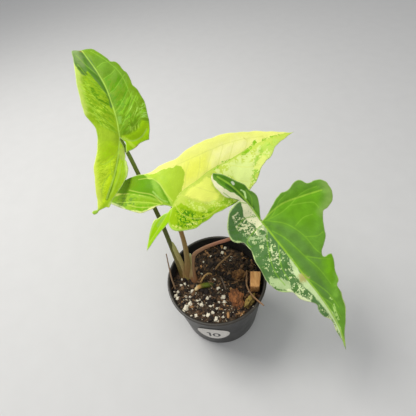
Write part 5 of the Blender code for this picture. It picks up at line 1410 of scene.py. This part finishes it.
def ink_material():
    """Black marker, a little worn."""
    material, bench, shader = new_material("label_ink", IOR=1.5)
    wear = bench.noise(bench.object_place(), 700.0, 3.0)
    colour = bench.mix(bench.ramp(wear, 0.45, 0.7), screen(30, 30, 32), screen(70, 70, 72))
    bench.feed(shader["Base Color"], colour)
    bench.feed(shader["Roughness"], bench.math("MULTIPLY_ADD", wear, 0.3, 0.3))
    return material


def make_label():
    """A round paper sticker bent round the wall, with the pot's size in centimetres drawn by pen."""
    verts = [on_wall(0, 0, LABEL_LIFT)]
    for ring in range(1, LABEL_RINGS + 1):
        lift = LABEL_LIFT + (LABEL_EDGE_LIFT if ring == LABEL_RINGS else 0.0)
        round_points = circle(LABEL_DIAMETER / 2 * ring / LABEL_RINGS, 0, LABEL_SIDES)
        verts += [on_wall(across, upward, lift) for across, upward, _ in round_points]
    mesh = mesh_of("label", verts, disc_faces(LABEL_RINGS, LABEL_SIDES))
    label = new_thing("label", mesh, label_material())
    solidify = label.modifiers.new("thickness", "SOLIDIFY")
    solidify.thickness = LABEL_THICKNESS * MM
    solidify.offset = 1.0
    apply_modifiers(label)
    finish_piece("label_sticker", label, ["label"])
    ink = ink_material()
    turn = np.linspace(1.7, 1.7 + 2 * math.pi, 15)
    nought = [(NOUGHT_CENTRE[0] + NOUGHT_HALF_SIZE[0] * math.cos(angle),
               NOUGHT_CENTRE[1] + NOUGHT_HALF_SIZE[1] * math.sin(angle)) for angle in turn]
    outward = (math.cos(LABEL_ANGLE), math.sin(LABEL_ANGLE), 0.0)
    for name, stroke in (("label_digit_one", DIGIT_ONE), ("label_digit_nought", nought)):
        path = [(*on_wall(across + DIGITS_SHIFT[0], upward + DIGITS_SHIFT[1], LABEL_LIFT + LABEL_THICKNESS),
                 MARKER_RADIUS) for across, upward in stroke]
        mesh = sweep(path, 10, 0.7, flatten=(outward, INK_THICKNESS))
        finish_piece(name, new_thing(name, mesh, ink))


def rough_height(x, y):
    """Crumbs and clods of the mix, over its smooth surface."""
    broad = noise.noise(Vector((x, y, 3.1)) * 0.16) + 0.6 * noise.noise(Vector((x, y, 8.3)) * 0.37)
    clod = noise.noise(Vector((x, y, 1.7)) * 0.55)
    crumb = noise.noise(Vector((x, y, 5.5)) * 1.25)
    return 0.8 * broad + 0.9 * clod * abs(clod) * 2 + 0.5 * crumb


def soil_edge(angle, surface):
    """Radius at which the mix meets the pot's wall."""
    height = level(surface, SOIL_EDGE_RADIUS * math.cos(angle), SOIL_EDGE_RADIUS * math.sin(angle))
    return wall_radius(height) - WALL - SOIL_GAP


def fade(values, start, reach):
    """0 at start, 1 at reach past it, and held there; a negative reach goes the other way."""
    return np.clip((values - start) / reach, 0, 1)


def make_soil(surface):
    """The potting mix: a closed body that fills the pot, and the surface that loose pieces lie on."""
    angles = [2 * math.pi * index / SOIL_SIDES for index in range(SOIL_SIDES)]
    edges = [soil_edge(angle, surface) for angle in angles]
    verts = [(0.0, 0.0)]
    for ring in range(1, SOIL_RINGS + 1):
        verts += [(edge * ring / SOIL_RINGS * math.cos(a), edge * ring / SOIL_RINGS * math.sin(a))
                  for a, edge in zip(angles, edges)]
    flat = np.array(verts)
    heights = surface(flat) + np.array([rough_height(x, y) for x, y in flat])
    top = np.c_[flat, heights]
    floor_height = FLOOR + SOIL_GAP
    lower = []
    for inset, height in ((0.0, floor_height + 2), (2.0, floor_height)):
        lower += circle(wall_radius(height) - WALL - SOIL_GAP - inset, height, SOIL_SIDES)
    faces = disc_faces(SOIL_RINGS + 2, SOIL_SIDES)
    bottom = 1 + (SOIL_RINGS + 1) * SOIL_SIDES
    faces.append(tuple(bottom + index for index in range(SOIL_SIDES - 1, -1, -1)))
    body = mesh_of("soil", np.vstack([top, lower]), faces)
    material = grit_material(
        "potting_mix_damp", (98, 74, 48), (22, 16, 12), scale=1.5, balance=0.46, bump=0.9)
    finish_piece("potting_mix", new_thing("soil", body, material), ["soil"])
    carrier = mesh_of("carrier", top, [face for face in faces if max(face) < len(top)])
    x, y = flat.T
    front = fade(y, -6, -20) * fade(x, 20, -14)
    left = fade(x, -20, -10) * fade(y, 14, -20)
    right = fade(x, 2, 16) * fade(y, 22, -16)
    within = np.where(np.hypot(x, y) < LITTER_REACH, 1.0, 0.0)
    add_values(carrier, "grain_share", np.clip(0.13 + front + 0.7 * left, 0, 1))
    add_values(carrier, "litter_share", within)
    add_values(carrier, "flake_share", within * (0.12 + 0.88 * right))
    return carrier


def rounded_grain(draw, subdivisions, lumpy, squash):
    """One loose crumb of about unit radius, pushed in and out by noise."""
    bm = bmesh.new()
    bmesh.ops.create_icosphere(bm, subdivisions=subdivisions, radius=1.0)
    seed = Vector((draw.uniform(0, 90), draw.uniform(0, 90), draw.uniform(0, 90)))
    for vertex in bm.verts:
        push = 1 + lumpy * noise.noise(vertex.co * 1.4 + seed)
        push += 0.5 * lumpy * noise.noise(vertex.co * 3.3 + seed)
        vertex.co = Vector([value * push * flat for value, flat in zip(vertex.co, squash)])
    bm.transform(Matrix.Scale(MM, 4))
    return mesh_from(bm, "grain")


def bent_fibre(draw):
    """One short loose fibre of about ten millimetres, lying nearly flat."""
    bend = draw.uniform(-0.5, 0.5)
    path = []
    for index in range(5):
        t = index / 4 - 0.5
        lift = 0.8 * draw.uniform(-0.4, 1.0)
        path.append((10 * t, 6 * bend * (t * t * 4 - 1), lift, 0.28 * (1 - 0.6 * abs(t))))
    return sweep(path, 5, 2.4)


def scatter_tree(name):
    """Geometry nodes that strew a collection's pieces over a surface."""
    tree = bpy.data.node_groups.new(name, "GeometryNodeTree")
    for label, kind in SCATTER_INPUTS.items():
        tree.interface.new_socket(name=label, in_out="INPUT", socket_type="NodeSocket" + kind)
    tree.interface.new_socket(name="Strewn", in_out="OUTPUT", socket_type="NodeSocketGeometry")
    bench = Bench(tree)
    given = bench.node("NodeGroupInput").outputs

    def draw(later):
        """A number from 0 to 1 for each piece, from a seed that much later than the given one."""
        made = bench.node(
            "FunctionNodeRandomValue", {"Seed": bench.math("ADD", given["Seed"], later)}, data_type="FLOAT")
        bench.feed(made.inputs[2], 0.0)
        bench.feed(made.inputs[3], 1.0)
        return made.outputs[1]

    share = bench.node("GeometryNodeInputNamedAttribute", {"Name": given["Share"]}, data_type="FLOAT")
    density = bench.math("MULTIPLY", share.outputs["Attribute"], given["Crowding"])
    points = bench.node("GeometryNodeDistributePointsOnFaces", {
        "Mesh": given["Surface"], "Density": density, "Seed": given["Seed"]}, distribute_method="RANDOM")
    pieces = bench.node("GeometryNodeCollectionInfo", {
        "Collection": given["Pieces"], "Separate Children": True, "Reset Children": True})
    turn = bench.node("FunctionNodeRandomValue", {"Seed": given["Seed"]}, data_type="FLOAT_VECTOR")
    tumble = bench.node("ShaderNodeCombineXYZ", {
        "X": given["Tumble"], "Y": given["Tumble"], "Z": 2 * math.pi})
    bench.feed(turn.inputs[0], FLAT)
    bench.feed(turn.inputs[1], tumble.outputs[0])
    # Small pieces are commoner than large ones.
    skewed = bench.math("POWER", draw(7.0), 2.2)
    spread = bench.math("SUBTRACT", given["Largest"], given["Smallest"])
    strewn = bench.node("GeometryNodeInstanceOnPoints", {
        "Points": points.outputs["Points"], "Instance": pieces.outputs["Instances"],
        "Pick Instance": True, "Rotation": turn.outputs[0],
        "Scale": bench.math("MULTIPLY_ADD", skewed, spread, given["Smallest"])})
    marked = bench.node("GeometryNodeStoreNamedAttribute", {
        "Geometry": strewn.outputs["Instances"], "Name": "tone", "Value": draw(13.0)},
        data_type="FLOAT", domain="INSTANCE")
    real = bench.node("GeometryNodeRealizeInstances", {"Geometry": marked.outputs["Geometry"]})
    done = bench.node("GeometryNodeSetMaterial", {
        "Geometry": real.outputs["Geometry"], "Material": given["Finish"]})
    bench.feed(bench.node("NodeGroupOutput").inputs["Strewn"], done.outputs["Geometry"])
    return tree


def strew(tree, carrier, name, meshes, slot_name, **inputs):
    """Strew meshes over the carrier with the scatter tree, as one plain mesh that rides on the pot."""
    shelf = bpy.data.collections.new(name + "_pieces")
    for index, mesh in enumerate(meshes):
        shelf.objects.link(bpy.data.objects.new(f"{name}_{index}", mesh))
    thing = new_thing(name, carrier.copy())
    modifier = thing.modifiers.new("scatter", "NODES")
    modifier.node_group = tree
    inputs["Pieces"] = shelf
    for item in tree.interface.items_tree:
        if item.in_out == "INPUT" and item.name in inputs:
            modifier[item.identifier] = inputs[item.name]
    apply_modifiers(thing)
    thing.data.shade_smooth()
    for piece in list(shelf.objects):
        bpy.data.objects.remove(piece, do_unlink=True)
    bpy.data.collections.remove(shelf)
    finish_piece(name, thing)


def make_litter(carrier, surface):
    """Perlite, bark crumbs and fibres on the mix."""
    draw = random.Random(11)
    tree = scatter_tree("strew_over_mix")
    finishes = {}
    for name, kind in STREWN.items():
        finishes[name] = grit_material(
            kind["finish"], kind["light"], kind["dark"], attribute="tone", **kind["grit"])
        pieces = []
        for _ in range(PIECES_PER_KIND):
            if "lumpy" in kind:
                squash = (1.0, draw.uniform(*kind["wide"]), draw.uniform(*kind["thick"]))
                pieces.append(rounded_grain(draw, 2, kind["lumpy"], squash))
            else:
                pieces.append(bent_fibre(draw))
        strew(tree, carrier, name, pieces, kind["slot"], Finish=finishes[name], **kind["lie"])
    bm = bmesh.new()
    for x, y, radius in LARGE_GRAINS:
        squash = [radius * 0.95, radius * draw.uniform(0.65, 0.9), radius * draw.uniform(0.6, 0.8)]
        mesh = rounded_grain(draw, 3, 0.7, squash)
        centre = Vector((x, y, level(surface, x, y) + radius * 0.2)) * MM
        mesh.transform(Matrix.Translation(centre) @ Matrix.Rotation(draw.uniform(0, math.tau), 4, "Z"))
        bm.from_mesh(mesh)
    mesh = mesh_from(bm, "perlite_large")
    add_values(mesh, "tone", np.full(len(mesh.vertices), 0.7))
    grains = new_thing("perlite_large", mesh, finishes["perlite_small"])
    finish_piece("perlite_large", grains)


def make_lumps(surface):
    """Bark chips and the fibre lump, each a ball roughened at three scales, then squashed and turned."""
    for name, ((x, y, lift), half_size, turn, tilt, roughness) in LUMPS.items():
        centre = Vector((x, y, level(surface, x, y) + lift))
        bm = bmesh.new()
        bmesh.ops.create_icosphere(bm, subdivisions=6, radius=1.0)
        for vertex in bm.verts:
            base = vertex.co.copy()
            ridges = Vector((base.x * 5.0, base.y * 1.6, base.z * 5.0))
            push = 1 + roughness * noise.noise(base * 2.1 + centre)
            push += 0.22 * noise.noise(ridges * 1.3 + centre) + 0.09 * noise.noise(ridges * 3.4)
            vertex.co = Vector([value * push * half for value, half in zip(base, half_size)])
        turns = [Matrix.Rotation(math.radians(angle), 4, axis)
                 for angle, axis in ((turn, "Z"), (tilt[0], "X"), (tilt[1], "Y"))]
        bm.transform(TO_METRES @ Matrix.Translation(centre) @ turns[0] @ turns[1] @ turns[2])
        light, dark = LUMP_COLOURS[name]
        material = grit_material(
            name + "_rough", light, dark, scale=1.3, stretch=(1.5, 0.6, 1.5), bump=0.9)
        lump = new_thing(name, mesh_from(bm, name), material)
        finish_piece(name + "_fine", lump, [name])


def tan_wood_material():
    """The cut chip: pale orange wood with grain lines, brown bark on its left side."""
    material, bench, shader = new_material("tan_wood_cut", IOR=1.45)
    place = bench.object_place()
    grain = bench.noise(bench.vector("MULTIPLY", place, (500.0, 60.0, 500.0)), 1.0, 4.0, 0.6)
    cloud = bench.noise(place, 160.0, 3.0)
    colour = bench.mix(bench.ramp(grain, 0.35, 0.65), screen(214, 146, 84), screen(244, 186, 120))
    colour = bench.mix(bench.ramp(cloud, 0.5, 0.75, 0.0, 0.5), colour, screen(196, 128, 70))
    bark = bench.math("MULTIPLY_ADD", cloud, 0.3, bench.attribute("bark_side")["Fac"])
    bark_colour = bench.mix(grain, screen(66, 42, 28), screen(118, 78, 52))
    colour = bench.mix(bench.ramp(bark, 0.5, 0.72), colour, bark_colour)
    dress(bench, shader, colour, bench.math("MULTIPLY_ADD", grain, 0.2, 0.62), grain, 0.25)
    return material


def make_tan_chip(surface):
    """The cut wood chip: a box with worn edges and slightly uneven faces."""
    x, y, lift = TAN_CHIP_CENTRE
    centre = (x, y, level(surface, x, y) + lift)
    bm = bmesh.new()
    bmesh.ops.create_cube(bm, size=1.0)
    for vertex in bm.verts:
        vertex.co = Vector([value * size for value, size in zip(vertex.co, TAN_CHIP_SIZE)])
        vertex.co.x += 0.10 * vertex.co.y * (vertex.co.x > 0)
    bmesh.ops.bevel(bm, geom=bm.edges[:], offset=TAN_CHIP_BEVEL, segments=4, profile=0.5, affect="EDGES")
    bmesh.ops.triangulate(bm, faces=bm.faces)
    bmesh.ops.subdivide_edges(bm, edges=bm.edges[:], cuts=5, use_grid_fill=True)
    bm.normal_update()
    bark_side = []
    for vertex in bm.verts:
        local = vertex.co.copy()
        bark_side.append(max(0.0, -vertex.normal.x) + 0.25 * max(0.0, -local.z / TAN_CHIP_SIZE[2]))
        grain = Vector((local.x * 1.6, local.y * 0.3, local.z * 1.6))
        vertex.co += vertex.normal * (0.28 * noise.noise(local * 0.5) + 0.16 * noise.noise(grain))
    bm.transform(TO_METRES @ Matrix.Translation(centre) @ Matrix.Rotation(TAN_CHIP_TURN, 4, "Z"))
    mesh = mesh_from(bm, "tan_chip")
    add_values(mesh, "bark_side", bark_side)
    chip = new_thing("tan_chip", mesh, tan_wood_material())
    finish_piece("bark_chip_tan_fine", chip, ["bark_chip_tan"])


def make_camera():
    """The camera that the photograph was taken with: it looks down, and is rolled a little."""
    data = bpy.data.cameras.new("camera")
    data.lens = CAMERA_LENS
    data.sensor_width = CAMERA_SENSOR
    camera = new_thing("camera", data, smooth=False)
    forward = Vector((0, math.cos(CAMERA_PITCH), -math.sin(CAMERA_PITCH)))
    up = Vector((0, math.sin(CAMERA_PITCH), math.cos(CAMERA_PITCH)))
    right = Vector((1, 0, 0))
    rolled_right = right * math.cos(CAMERA_ROLL) + up * math.sin(CAMERA_ROLL)
    rolled_up = up * math.cos(CAMERA_ROLL) - right * math.sin(CAMERA_ROLL)
    turn = Matrix((rolled_right, rolled_up, -forward)).transposed().to_4x4()
    camera.matrix_world = Matrix.Translation(Vector(CAMERA_PLACE) * MM) @ turn
    bpy.context.scene.camera = camera


def make_light(name, place, target, size, power, tint):
    """A soft square light, in metres and watts, that faces its target."""
    data = bpy.data.lights.new(name, "AREA")
    data.size = size
    data.energy = power
    data.color = tint
    light = new_thing(name, data, smooth=False)
    turn = (Vector(target) - Vector(place)).to_track_quat("-Z", "Y")
    light.matrix_world = Matrix.Translation(place) @ turn.to_matrix().to_4x4()


def make_studio():
    """A plain pale floor under a pale surround, one large soft light and a weak fill."""
    bm = bmesh.new()
    bmesh.ops.create_circle(bm, cap_ends=True, segments=64, radius=FLOOR_RADIUS)
    mesh = mesh_from(bm, "floor")
    material, bench, shader = new_material("floor_paper")
    speck = bench.noise(bench.object_place(), 40.0, 3.0)
    bench.feed(shader["Base Color"], bench.mix(speck, screen(206, 205, 203), screen(212, 211, 209)))
    bench.feed(shader["Roughness"], bench.math("MULTIPLY_ADD", speck, 0.1, 0.7))
    new_thing("floor", mesh, material, smooth=False)
    world = bpy.data.worlds.new("surround")
    world.use_nodes = True
    sky = world.node_tree.nodes["Background"].inputs
    sky["Color"].default_value = SURROUND_COLOUR
    sky["Strength"].default_value = SURROUND_STRENGTH
    bpy.context.scene.world = world
    for name, light in LIGHTS.items():
        make_light(name, **light)
    bpy.context.scene.view_settings.view_transform = "Standard"


make_camera()
make_studio()
blades = {key: make_leaf(key) for key in LEAVES}
make_stalks(blades)
soil_surface = thin_plate(SOIL_POINTS)
carrier_mesh = make_soil(soil_surface)
make_litter(carrier_mesh, soil_surface)
make_roots(soil_surface)
make_lumps(soil_surface)
make_tan_chip(soil_surface)
make_pot()
make_label()
